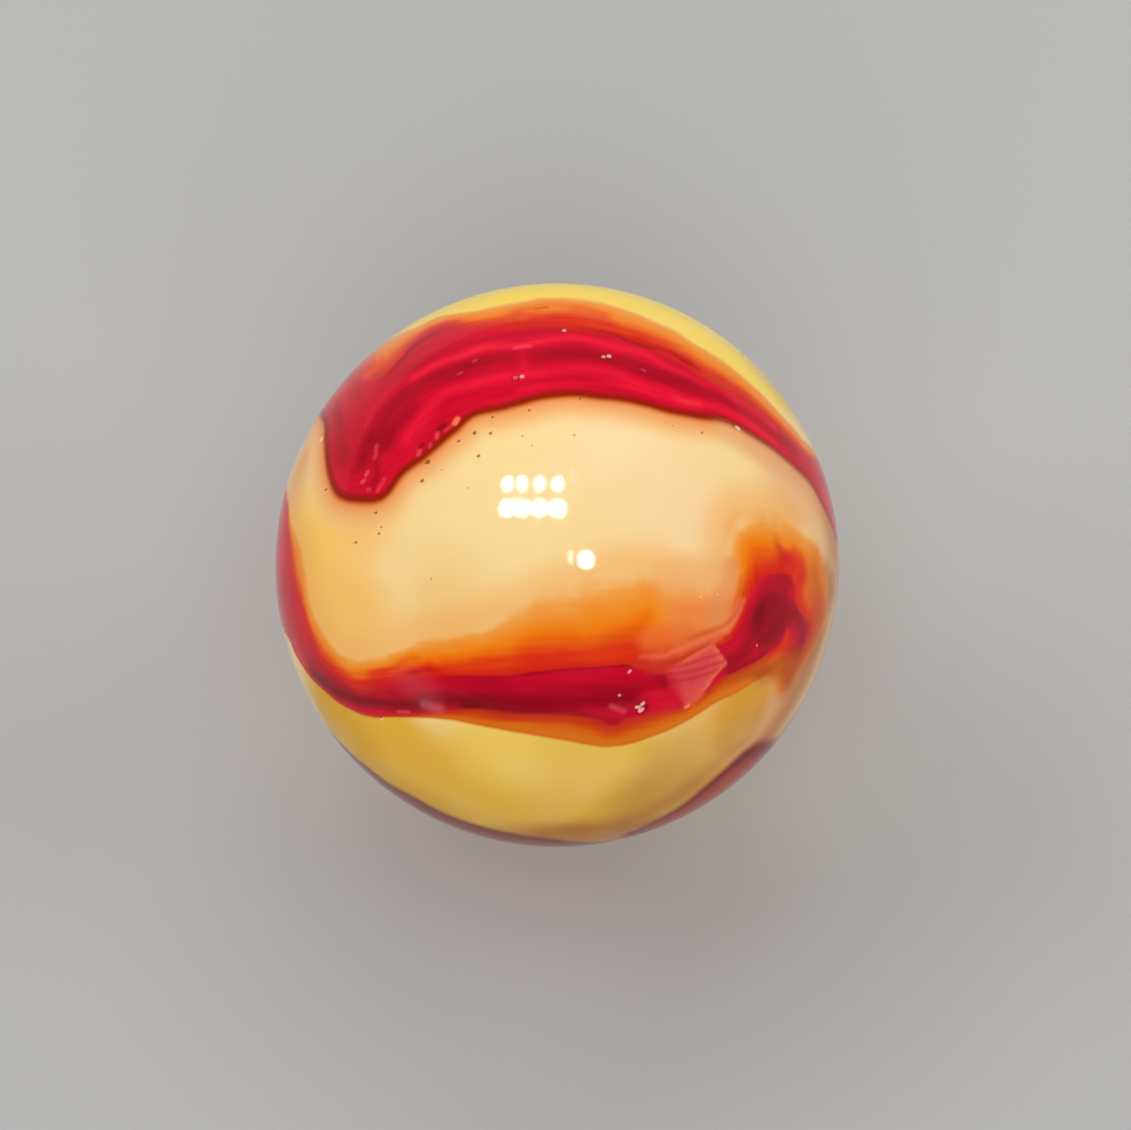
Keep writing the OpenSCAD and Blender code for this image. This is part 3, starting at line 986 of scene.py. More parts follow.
# %% [markdown]
# ### Thin dark lines
# Where a ribbon was sheared, a hair of burnt brown-red glass marks the cut. Such a line is
# thinner than the mesh, so the mesh holds the signed distance from it and the material draws
# it as sharp as it is. Just over the edge of the face the line fades out at both ends.

# %% The dark line
CUT_STRENGTH, CUT_STRENGTH_RIGHT = 1.0, 0.85
CUT_RIGHT = 4.5  # from so many mm to the right on, the line is a little weaker
cut_edge = [
    (*place, CUT_STRENGTH if place[0] < CUT_RIGHT else CUT_STRENGTH_RIGHT) for place in UPPER_EDGE
]
cut_line = smooth_line(
    stretch([(-5.1, 5.0, 0.0), (-5.8, 4.8, 0.0), (-6.3, 4.75, 0.5)], side=-1)
    + stretch(cut_edge)
    + stretch([(7.95, 0.35, 0.5), (7.75, 0.1, 0.0), (7.3, 0.6, 0.0)], side=-1), closed=False)
cut_distance, cut_side, cut_strength, _ = nearest_on(cut_line, closed=False)
cut_strength = np.clip(cut_strength, 0, 1)
print("dark line crosses", (cut_strength > 0.5).sum(), "corners' nearest stretch")

# %% [markdown]
# ### The flow
# The finest streaks need to know which way the glass flowed. A few lines run down the middles
# of the ribbons, and each corner gets how far along and across the nearest one it is.

# %% Lines of flow
FLOWS = [
    stretch([
        (-6.3, 4.9), (-5.7, 3.2), (-5.0, 3.3), (-4.6, 4.2), (-3.3, 5.2), (-1.0, 5.8), (1.0, 5.8),
        (3.0, 5.2), (5.0, 4.35), (6.5, 3.2), (7.6, 1.6)])
    + stretch([(7.2, 0.0), (5.6, -2.2), (3.6, -3.1), (1.4, -3.2), (-2.3, -1.8)], side=-1),
    stretch([(-4.0, 4.0), (-6.0, 3.4), (-7.2, 2.0)], side=-1)
    + stretch([
        (-7.6, 0.8), (-7.3, -1.0), (-6.6, -3.0), (-5.5, -3.6), (-3.0, -3.5), (0.0, -3.4),
        (2.5, -3.4), (4.5, -2.8), (5.7, -1.8), (6.2, -0.8), (6.9, 0.3)]),
    stretch([
        (4.95, -1.3), (4.8, -0.4), (4.8, 0.4), (5.1, 1.05), (5.7, 1.15), (6.4, 0.95), (6.95, 0.3),
        (7.2, -0.6), (7.2, -1.4), (6.8, -2.5), (6.4, -3.5)]),
    UNDER_BAND,
]
SEAM = 0.5  # mm over which the streaks fade where two flows meet
flow_along, flow_across = np.zeros(len(skin)), np.zeros(len(skin))
flow_far, next_far = np.full(len(skin), -FAR), np.full(len(skin), -FAR)
for rows in FLOWS:
    distance, side, _, along = nearest_on(smooth_line(rows, closed=False), closed=False)
    nearer = distance < flow_far
    next_far = np.where(nearer, flow_far, np.minimum(next_far, distance))
    flow_far = np.where(nearer, distance, flow_far)
    flow_along = np.where(nearer, along, flow_along)
    flow_across = np.where(nearer, distance * side, flow_across)
print("flow lines reach", flow_far.max().round(2), "mm at most")

# %% [markdown]
# ### What the mesh keeps
# All of this is one number a corner, each in a named layer of the mesh. Depths are only needed
# near an edge, so they are held within a few mm.

# %% Keep the layers
DEPTH_LIMIT = 3.0


def keep(name, values):
    """Keeps one number a corner in the mesh, for the material to read."""
    layer = marble_mesh.attributes.new(name, "FLOAT", "POINT")
    layer.data.foreach_set("value", np.asarray(values, np.float32))


def keep_depth(name, values):
    """Keeps a depth, held within DEPTH_LIMIT."""
    keep(name, np.clip(values, -DEPTH_LIMIT, DEPTH_LIMIT))


keep_depth("red", red[0])
keep("red_blur", red[1])
keep_depth("orange", orange[0])
keep("orange_blur", orange[1])
keep("brown", brown_share)
keep_depth("patch", patch)
keep("patch_share", patch_share)
keep("halo", halo)
keep("threads", threads)
keep("crease", crease)
keep("gleam", gleam)
keep("burnt", burnt)
# the painted shade along the right rim
keep("rim_shade", rim_shade)
keep_depth("small", small_depth)
keep("small_share", small_share)
keep("tone", tone)
keep("warmth", warmth)
keep_depth("cut_side", cut_distance * cut_side)
keep("cut_strength", cut_strength)
keep("flow_along", flow_along)
keep("flow_across", flow_across)
keep("flow_sure", soft_step((next_far - flow_far) / SEAM))
# dust with painted shade in each pit, and the painted highlight on its lit wall
keep("dust_and_shade", dust_and_shade)
keep("pit_highlight", pit_highlight)
print("kept", len(marble_mesh.attributes), "layers on the mesh")

# %% [markdown]
# ## The glass
# One Principled shader is the whole glass: opaque, hard and glossy. Its colour is built from
# the inside out: cream with soft fields of yellow and amber and a painted shade along the right
# rim, orange where red has bled into it, red with its streaks, and last the thin dark lines,
# the bubbles with their painted glints, and in the pits dust with painted shade and a painted
# highlight.
# Fields and bubbles are all the same thing at different sizes, a spot or short stroke of one
# colour with a sharp or a soft edge, so one node group draws them all.

# %% A spot of colour, as a node group
spot = bpy.data.node_groups.new("spot", "ShaderNodeTree")
SPOT_SOCKETS = [
    ("Below", "Color"), ("Spot", "Color"), ("Place", "Vector"), ("Middle", "Vector"),
    ("Stroke", "Vector"), ("Radius", "Float"), ("Soft", "Float"), ("Strength", "Float"),
]
for name, kind in SPOT_SOCKETS:
    spot.interface.new_socket(name, in_out="INPUT", socket_type="NodeSocket" + kind)
spot.interface.new_socket("Color", in_out="OUTPUT", socket_type="NodeSocketColor")


def vector(tree, operation, first, second):
    """A Vector Math node of two vectors, or of one and a number for SCALE."""
    slot = "Scale" if operation == "SCALE" else 1
    return put(tree, "VectorMath", {0: first, slot: second}, operation=operation).outputs


given = spot.nodes.new("NodeGroupInput").outputs
result = spot.nodes.new("NodeGroupOutput").inputs
gap = vector(spot, "SUBTRACT", given["Place"], given["Middle"])[0]
along = vector(spot, "DOT_PRODUCT", gap, given["Stroke"])["Value"]
length = vector(spot, "DOT_PRODUCT", given["Stroke"], given["Stroke"])["Value"]
length = sums(spot, "MAXIMUM", length, 1e-12)
along = put(spot, "Clamp", {0: sums(spot, "DIVIDE", along, length), 1: -1.0, 2: 1.0}).outputs[0]
nearest = vector(spot, "SCALE", given["Stroke"], along)[0]
away = vector(spot, "DISTANCE", gap, nearest)["Value"]
start = sums(spot, "ADD", given["Radius"], given["Soft"])
share = sums(spot, "MULTIPLY", between(spot, away, start, given["Radius"]), given["Strength"])
spot.links.new(blend(spot, share, given["Below"], given["Spot"]), result["Color"])
print("spot group has", len(spot.nodes), "nodes")

# %% [markdown]
# The material reads two things: the mesh's layers, and the place on the ball, which stays put
# when the ball is turned. `spots_over` lays one spot group after another over a colour.

# %% Start the glass material
glass = bpy.data.materials.new("swirl glass")
glass.use_nodes = True
tree = glass.node_tree
shader = tree.nodes["Principled BSDF"]
object_place = put(tree, "TexCoord").outputs["Object"]


def layer(name):
    """One of the numbers kept on the mesh."""
    return put(tree, "Attribute", attribute_name=name).outputs["Fac"]


def grain(scale, detail):
    """Noise all through the ball, with so many waves to the metre."""
    sockets = {"Vector": object_place, "Scale": scale, "Detail": detail}
    return put(tree, "TexNoise", sockets).outputs


def spots_over(below, place, rows):
    """Lays spots over a colour. Each row: right, up, side, half a stroke to the right and up,
    radius, soft edge, strength and colour."""
    for right, up, side, go_right, go_up, radius, soft, strength, colour in rows:
        middle = on_ball(right, up, side) * BALL_R
        ahead = on_ball(right + go_right, up + go_up, side) * BALL_R
        made = put(tree, "Group", node_tree=spot)
        values = {
            "Below": below, "Spot": colour, "Place": place, "Middle": tuple(middle),
            "Stroke": tuple(ahead - middle), "Radius": radius * MM, "Soft": soft * MM,
            "Strength": strength,
        }
        for name, value in values.items():
            fill(tree, made.inputs[name], value)
        below = made.outputs["Color"]
    return below


print("material", glass.name, "started")

# %% [markdown]
# The finest streaks are noise. It is read by how far along and across the flow a corner is,
# and squeezed across, so that it runs with the ribbons wherever they turn. Where two flows
# meet it fades.

# %% Streak noise that follows the flow
STREAK_ROUGH = 0.55


def streaks(along, across, detail, seed):
    """Noise drawn out along the ribbons, above and below 0."""
    x = sums(tree, "MULTIPLY", layer("flow_along"), along)
    y = sums(tree, "MULTIPLY", layer("flow_across"), across)
    where = put(tree, "CombineXYZ", {0: x, 1: y, 2: seed}).outputs[0]
    sockets = {"Vector": where, "Scale": 1.0, "Detail": detail, "Roughness": STREAK_ROUGH}
    found = put(tree, "TexNoise", sockets).outputs["Fac"]
    return sums(tree, "MULTIPLY", sums(tree, "SUBTRACT", found, 0.5), layer("flow_sure"))


broad_streaks = streaks(along=0.35, across=1.6, detail=2.0, seed=3.1)
fine_streaks = streaks(along=0.5, across=6.0, detail=3.0, seed=8.7)
print("streaks made,", len(tree.nodes), "nodes so far")

# %% [markdown]
# ### The ground: cream, yellow and amber
# The cream glass isn't one colour. Each field is a spot of yellow, amber or paler cream with a
# wide soft edge, laid over the cream in turn. Noise shifts the places a little first, so that
# no field shows as a round spot.

# %% Cream glass with fields of yellow and amber
CREAM = paint(0.985, 0.855, 0.60)
# Each field: right, up, side, how far it is full, how far it fades, strength and colour
FIELDS = [
    (1.5, 3.2, 1, 0.0, 2.8, 0.8, paint(0.985, 0.865, 0.66)),
    (3.5, 1.3, 1, 0.0, 2.8, 0.8, paint(0.985, 0.84, 0.63)),
    (-3.0, 7.3, 1, 1.3, 1.8, 1.0, paint(1.0, 0.86, 0.28)),
    (-0.5, 7.9, 1, 1.5, 2.0, 1.0, paint(1.0, 0.86, 0.26)),
    (2.2, 7.6, 1, 1.4, 1.8, 1.0, paint(1.0, 0.86, 0.27)),
    (5.0, 6.0, 1, 1.4, 1.6, 1.0, paint(1.0, 0.86, 0.34)),
    (-6.8, 0.2, 1, 0.8, 2.4, 1.0, paint(0.99, 0.79, 0.39)),
    (-5.2, 1.2, 1, 0.2, 1.5, 0.8, paint(0.985, 0.74, 0.35)),
    (-5.6, -1.4, 1, 0.6, 1.6, 0.9, paint(0.98, 0.75, 0.39)),
    (-3.0, -1.3, 1, 0.2, 2.4, 0.8, paint(0.95, 0.77, 0.48)),
    (6.7, 2.1, 1, 0.5, 1.9, 0.9, paint(0.95, 0.72, 0.50)),
    (6.8, 4.2, 1, 0.1, 1.6, 0.45, paint(0.86, 0.68, 0.24)),
    (5.6, 5.6, 1, 0.1, 1.6, 0.4, paint(0.86, 0.70, 0.26)),
    (-7.25, 2.0, 1, 0.1, 1.2, 0.6, paint(0.93, 0.66, 0.36)),
    (-7.1, 2.9, 1, 0.2, 1.2, 0.8, paint(0.92, 0.63, 0.33)),
    (-6.85, 3.8, 1, 0.1, 1.0, 0.6, paint(0.93, 0.66, 0.36)),
    (0.0, -7.6, 1, 4.7, 1.6, 1.0, paint(0.90, 0.71, 0.24)),
    (-1.5, -5.0, 1, 0.4, 2.2, 0.8, paint(0.97, 0.81, 0.38)),
    (-1.0, -5.7, 1, 0.0, 1.2, 0.5, paint(0.95, 0.82, 0.46)),
    (1.0, -5.4, 1, 0.3, 1.8, 0.6, paint(0.94, 0.78, 0.38)),
    (4.2, -4.3, 1, 0.6, 1.2, 0.8, paint(0.90, 0.70, 0.32)),
    (3.4, -5.6, 1, 0.7, 1.4, 0.9, paint(0.84, 0.66, 0.33)),
    (5.2, -3.9, 1, 0.6, 1.0, 1.0, paint(0.86, 0.61, 0.20)),
    (5.0, -4.7, 1, 0.3, 0.9, 0.9, paint(0.80, 0.59, 0.27)),
    (-4.6, -4.7, 1, 0.7, 1.2, 1.0, paint(0.91, 0.70, 0.22)),
    (-6.0, -4.6, 1, 1.0, 1.4, 1.0, paint(0.87, 0.65, 0.03)),
    (-3.8, -6.8, 1, 0.9, 1.5, 1.0, paint(0.84, 0.62, 0.02)),
    (0.5, -8.0, 1, 3.0, 1.2, 1.0, paint(0.72, 0.46, 0.05)),
    (2.2, -7.3, 1, 0.5, 1.0, 0.8, paint(0.66, 0.40, 0.08)),
    (3.4, -7.2, 1, 0.6, 1.1, 1.0, paint(0.72, 0.44, 0.10)),
    (2.8, -6.5, 1, 0.6, 1.6, 0.9, paint(0.77, 0.58, 0.20)),
    (6.2, 4.95, 1, 0.1, 1.8, 0.55, paint(0.80, 0.64, 0.24)),
    (0.0, 0.0, -1, 4.5, 4.0, 1.0, paint(0.95, 0.80, 0.42)),
    (3.2, 1.0, -1, 0.3, 3.0, 0.6, paint(0.98, 0.86, 0.64)),
    (-2.6, -0.8, -1, 0.3, 2.6, 0.6, paint(0.94, 0.75, 0.36)),
    (1.0, 5.2, -1, 0.3, 2.6, 0.7, paint(0.98, 0.82, 0.40)),
    (0.5, -5.0, -1, 0.3, 2.4, 0.6, paint(0.92, 0.73, 0.30)),
]
DRIFT = 0.9  # mm by which the fields' edges wander
drift = grain(scale=260.0, detail=2.0)["Color"]
shift = vector(tree, "SUBTRACT", drift, (0.5, 0.5, 0.5))[0]
shift = vector(tree, "SCALE", shift, DRIFT * MM)[0]
drifted = vector(tree, "ADD", object_place, shift)[0]
ground = spots_over(CREAM, drifted, [
    (right, up, side, 0, 0, full, fade, strength, colour)
    for right, up, side, full, fade, strength, colour in FIELDS])
CLOUDY = 0.25  # how strong the faint clouds in the cream are
cloud = between(tree, grain(scale=420.0, detail=3.0)["Fac"], 0.45, 0.75, high=CLOUDY)
ground = blend(tree, cloud, ground, paint(0.97, 0.80, 0.52))
print(len(FIELDS), "fields,", len(tree.nodes), "nodes so far")

# %% [markdown]
# ### What lies on the ground
# Outside the sheared edge the cream is stained for about a millimetre, from burnt brown to
# amber. The halo and the brown ribbon are stains too, and a brown painted shade darkens the
# right rim, each from its own layer.

# %% The stained fringe, the halo, the painted rim shade and the brown ribbon
FRINGE_WIDE = 1.2  # how far the bleed outside a sheared edge goes, mm
FRINGE_FULL = 0.5
FRINGE_IN, FRINGE_IN_FULL = 0.4, 0.2  # how far it goes inside the edge, where the red covers it
near_cut = between(tree, layer("cut_side"), FRINGE_IN, FRINGE_IN_FULL)
fringe = between(tree, layer("cut_side"), -FRINGE_WIDE, -FRINGE_FULL)
fringe = sums(tree, "MULTIPLY", fringe, near_cut)
fringe = sums(tree, "MULTIPLY", fringe, layer("cut_strength"))
outside = sums(tree, "DIVIDE", layer("cut_side"), -FRINGE_WIDE)
fringe_colour = ramp(tree, outside, [
    (0.0, paint(0.60, 0.08, 0.0)), (0.08, paint(0.66, 0.19, 0.0)),
    (0.13, paint(0.75, 0.33, 0.10)), (0.18, paint(0.88, 0.50, 0.25)),
    (0.25, paint(0.94, 0.61, 0.36)), (0.42, paint(0.955, 0.69, 0.43)),
    (0.6, paint(0.965, 0.74, 0.48)), (1.0, paint(0.98, 0.80, 0.54))])
ground = blend(tree, layer("halo"), ground, paint(0.96, 0.66, 0.32))
ground = blend(tree, fringe, ground, fringe_colour)
# painted shade: brown over the cream along the right rim
ground = blend(tree, layer("rim_shade"), ground, paint(0.70, 0.39, 0.17))
ground = blend(tree, layer("brown"), ground, paint(0.50, 0.12, 0.0))
print("ground done,", len(tree.nodes), "nodes so far")

# %% [markdown]
# ### Orange
# From the edge of a ribbon's orange to its red, the colour runs from amber to deep red.
# `bleed` says how far on that way the glass is: its depth in the orange, as a share of the
# whole width there. At a crisp edge the scale starts further up, because the pale end has no
# room, and its rim is burnt. `warmth`, the streaks and small puffs of noise stir it.

# %% Orange where red has bled in
CRISP_OVER, CRISP_UNDER = 0.28, 0.16  # an edge blurred over more is melted, over less is crisp
CRISP_LEAST = 0.42  # where the scale starts at a crisp edge
CRISP_POWER = 1.2  # how much slower it climbs there
CRISP_RIM, RIM_WIDE, RIM_FULL = 0.15, 0.14, 0.02  # how much its rim adds, and over how many mm
CRISP_BROWN = 0.45  # how much of it is burnt brown
BROAD_SHARE, FINE_SHARE, PUFF_SHARE = 0.12, 0.1, 0.2
puff = sums(tree, "SUBTRACT", grain(scale=700.0, detail=4.0)["Fac"], 0.5)
red_blur, orange_blur = layer("red_blur"), layer("orange_blur")
in_red = sums(tree, "MULTIPLY_ADD", fine_streaks, red_blur, layer("red"))
in_orange = sums(tree, "MULTIPLY_ADD", puff, orange_blur, layer("orange"))
to_red = sums(tree, "MAXIMUM", sums(tree, "MULTIPLY", in_red, -1.0), 0.0)
deep = sums(tree, "MAXIMUM", in_orange, 0.0)
ratio = sums(tree, "DIVIDE", deep, sums(tree, "ADD", sums(tree, "ADD", deep, to_red), 1e-4))
crisp = between(tree, orange_blur, CRISP_OVER, CRISP_UNDER)
least = sums(tree, "MULTIPLY", crisp, CRISP_LEAST)
ratio = sums(tree, "POWER", ratio, sums(tree, "MULTIPLY_ADD", crisp, CRISP_POWER, 1.0))
bleed = sums(tree, "MULTIPLY_ADD", ratio, sums(tree, "SUBTRACT", 1.0, least), least)
bleed = sums(tree, "ADD", bleed, layer("warmth"))
for stirred, share in (
        (broad_streaks, BROAD_SHARE), (fine_streaks, FINE_SHARE), (puff, PUFF_SHARE)):
    bleed = sums(tree, "ADD", bleed, sums(tree, "MULTIPLY", stirred, share))
rim = sums(tree, "MULTIPLY", crisp, between(tree, in_orange, RIM_WIDE, RIM_FULL, high=CRISP_RIM))
bleed = sums(tree, "ADD", bleed, rim)
BLEED_COLOURS = [
    (0.0, paint(0.97, 0.70, 0.38)), (0.2, paint(0.96, 0.63, 0.27)), (0.32, paint(0.96, 0.58, 0.20)),
    (0.44, paint(0.96, 0.55, 0.12)), (0.55, paint(0.96, 0.50, 0.02)),
    (0.64, paint(0.95, 0.43, 0.02)), (0.73, paint(0.91, 0.34, 0.02)),
    (0.82, paint(0.89, 0.26, 0.03)), (0.91, paint(0.88, 0.18, 0.06)),
    (1.0, paint(0.85, 0.13, 0.05)), (1.12, paint(0.72, 0.07, 0.02)),
    (1.25, paint(0.55, 0.04, 0.01)),
]
BLEED_TOP = BLEED_COLOURS[-1][0]
heated = ramp(tree, sums(tree, "DIVIDE", bleed, BLEED_TOP), [
    (step / BLEED_TOP, shown) for step, shown in BLEED_COLOURS])
heated = blend(tree, sums(tree, "MULTIPLY", crisp, CRISP_BROWN), heated, paint(0.72, 0.27, 0.0))
NO_BLEED, FULL_BLEED = -0.02, 0.22  # between them the ground still shows through the orange
half_blur = sums(tree, "MULTIPLY", orange_blur, 0.5)
covered = between(tree, in_orange, sums(tree, "MULTIPLY", half_blur, -1.0), half_blur)
covered = sums(tree, "MULTIPLY", covered, between(tree, bleed, NO_BLEED, FULL_BLEED))
colour = blend(tree, covered, ground, heated)
print("orange done,", len(tree.nodes), "nodes so far")

# %% [markdown]
# Thin milky glass lies over the orange in places, a fold at the upper ribbon's left shoulder is
# redder, and the hood's tail is burnt.

# %% Clouds over the orange, and the burnt tail
# Each cloud: right, up, side, half a stroke right and up, radius, soft edge, strength, colour
CLOUDS = [
    (-5.2, 5.35, 1, 0.15, 0.15, 0.1, 0.4, 0.8, paint(0.98, 0.24, 0.0)),
    (3.9, -1.45, 1, 0.45, 0.12, 0.25, 0.6, 0.9, paint(0.94, 0.54, 0.27)),
    (4.5, -0.75, 1, 0.12, 0.6, 0.1, 0.45, 0.85, paint(0.91, 0.56, 0.32)),
    (3.8, -0.35, 1, 0.6, 0.1, 0.1, 0.9, 0.6, paint(0.95, 0.66, 0.42)),
    (3.0, -2.1, 1, 0.5, 0.1, 0.1, 0.4, 0.7, paint(0.93, 0.44, 0.20)),
    (3.9, -2.1, 1, 0.55, 0.2, 0.05, 0.3, 0.8, paint(0.90, 0.43, 0.21)),
    (3.0, -2.55, 1, 0.4, 0.12, 0.05, 0.25, 0.7, paint(0.90, 0.34, 0.22)),
    (2.75, -2.82, 1, 0.5, 0.0, 0.08, 0.2, 0.8, paint(0.82, 0.16, 0.16)),
    (3.9, -2.25, 1, 0.5, 0.2, 0.02, 0.2, 0.7, paint(0.90, 0.38, 0.24)),
    (4.85, -1.3, 1, 0.15, 0.45, 0.02, 0.22, 0.7, paint(0.92, 0.50, 0.30)),
    (5.9, 2.95, 1, 1.1, -0.85, 0.15, 0.6, 0.6, paint(0.90, 0.66, 0.48)),
]
colour = spots_over(colour, drifted, CLOUDS)
colour = blend(tree, layer("burnt"), colour, paint(0.73, 0.31, 0.0))
print(len(CLOUDS), "clouds")

# %% [markdown]
# ### Red
# The red covers all that is under it. More or less red in each sheet takes it from wine to a
# bright pinkish red, by `tone` and the streak noise.

# %% Red with its streaks
FINE_IN_RED, BROAD_IN_RED = 0.22, 0.5
shade = sums(tree, "ADD", layer("tone"), sums(tree, "MULTIPLY", fine_streaks, FINE_IN_RED))
shade = sums(tree, "ADD", shade, sums(tree, "MULTIPLY", broad_streaks, BROAD_IN_RED))
shade = put(tree, "Math", {0: shade, 1: 0.5}, operation="ADD", use_clamp=True).outputs[0]
reds = ramp(tree, shade, [
    (0.0, paint(0.50, 0.0, 0.06)), (0.25, paint(0.66, 0.0, 0.12)), (0.5, paint(0.81, 0.0, 0.16)),
    (0.75, paint(0.93, 0.06, 0.19)), (1.0, paint(0.98, 0.22, 0.28)),
])
colour = blend(tree, between(tree, in_red, 0.0, red_blur), colour, reds)
print("red done,", len(tree.nodes), "nodes so far")

# %% [markdown]
# The small ribbon and the pink patch have scales of their own, read by the depth in them, so
# that each has its own dark or pale rim.

# %% The small ribbon and the pink patch
SMALL_WIDE = 1.6  # mm from the small ribbon's edge to the last colour of its scale
PATCH_WIDE = 0.7
PATCH_SHOWS, THREADS_SHOW = 0.85, 0.5
# The small ribbon is dark along its upper edge, crimson under it and orange brown further in
small_colour = ramp(tree, sums(tree, "DIVIDE", layer("small"), SMALL_WIDE), [
    (0.0, paint(0.60, 0.14, 0.04)), (0.1, paint(0.46, 0.0, 0.0)), (0.28, paint(0.48, 0.0, 0.0)),
    (0.45, paint(0.62, 0.02, 0.05)), (0.8, paint(0.62, 0.06, 0.02)), (1.0, paint(0.62, 0.10, 0.0))])
small_colour = spots_over(small_colour, drifted, [
    (3.95, -6.7, 1, 0.8, 0.65, 0.3, 0.7, 0.8, paint(0.66, 0.20, 0.0))])
colour = blend(tree, layer("small_share"), colour, small_colour)

patch_pink = ramp(tree, sums(tree, "DIVIDE", layer("patch"), PATCH_WIDE), [
    (0.0, paint(0.96, 0.46, 0.32)), (0.3, paint(0.88, 0.33, 0.30)), (1.0, paint(0.84, 0.24, 0.27))])
thread_share = sums(tree, "MULTIPLY", layer("threads"), THREADS_SHOW)
patch_pink = blend(tree, thread_share, patch_pink, paint(0.70, 0.10, 0.16))
patch_over = sums(tree, "MULTIPLY", layer("patch_share"), PATCH_SHOWS)
colour = blend(tree, patch_over, colour, patch_pink)
print("small ribbon and patch done,", len(tree.nodes), "nodes so far")

# %% [markdown]
# ### The dark line
# The burnt line is drawn from its signed distance, a little outside the cut.

# %% The thin dark line
LINE_OUT = 0.02  # the dark line's middle lies this far outside the cut, mm
LINE_HALF, LINE_FULL = 0.16, 0.03  # how far from its middle it ends and is full, mm
LINE_SHOWS = 0.85
line_off = sums(tree, "ABSOLUTE", sums(tree, "ADD", layer("cut_side"), LINE_OUT))
line_share = between(tree, line_off, LINE_HALF, LINE_FULL)
line_share = sums(tree, "MULTIPLY", line_share, layer("cut_strength"))
line_share = sums(tree, "MULTIPLY", line_share, LINE_SHOWS)
colour = blend(tree, line_share, colour, paint(0.60, 0.07, 0.01))
print("dark line done,", len(tree.nodes), "nodes so far")

# %% [markdown]
# ### Bubbles, flecks, and the pits' dust and painted light
# Bubbles under the skin, flecks and chips are small spots, each with its own place, size and
# colour; each bubble's pale point is a painted glint. The dust and painted shade in the pits,
# and the painted highlight on their lit lower right walls, come last.

# %% Bubbles, flecks, and the dust, painted shade and painted highlight in the pits
# the pits get a pale painted highlight on their lit wall and brown dust with painted shade
PIT_HIGHLIGHT_SHOWS, DUST_AND_SHADE_SHOWS = 0.5, 0.8
PIT_HIGHLIGHT_PALE, DUST_AND_SHADE_BROWN = paint(1.0, 0.88, 0.68), paint(0.50, 0.32, 0.09)
# pink, the pale colour of the bubbles' painted glints, and salmon
PINK, PAINTED_GLINT, SALMON = paint(0.95, 0.34, 0.42), paint(1.0, 0.68, 0.64), paint(1.0, 0.46, 0.26)
WINE, CREAMY, LILAC = paint(0.50, 0.0, 0.05), paint(1.0, 0.86, 0.74), paint(0.85, 0.45, 0.50)
ROSE = paint(0.94, 0.28, 0.28)
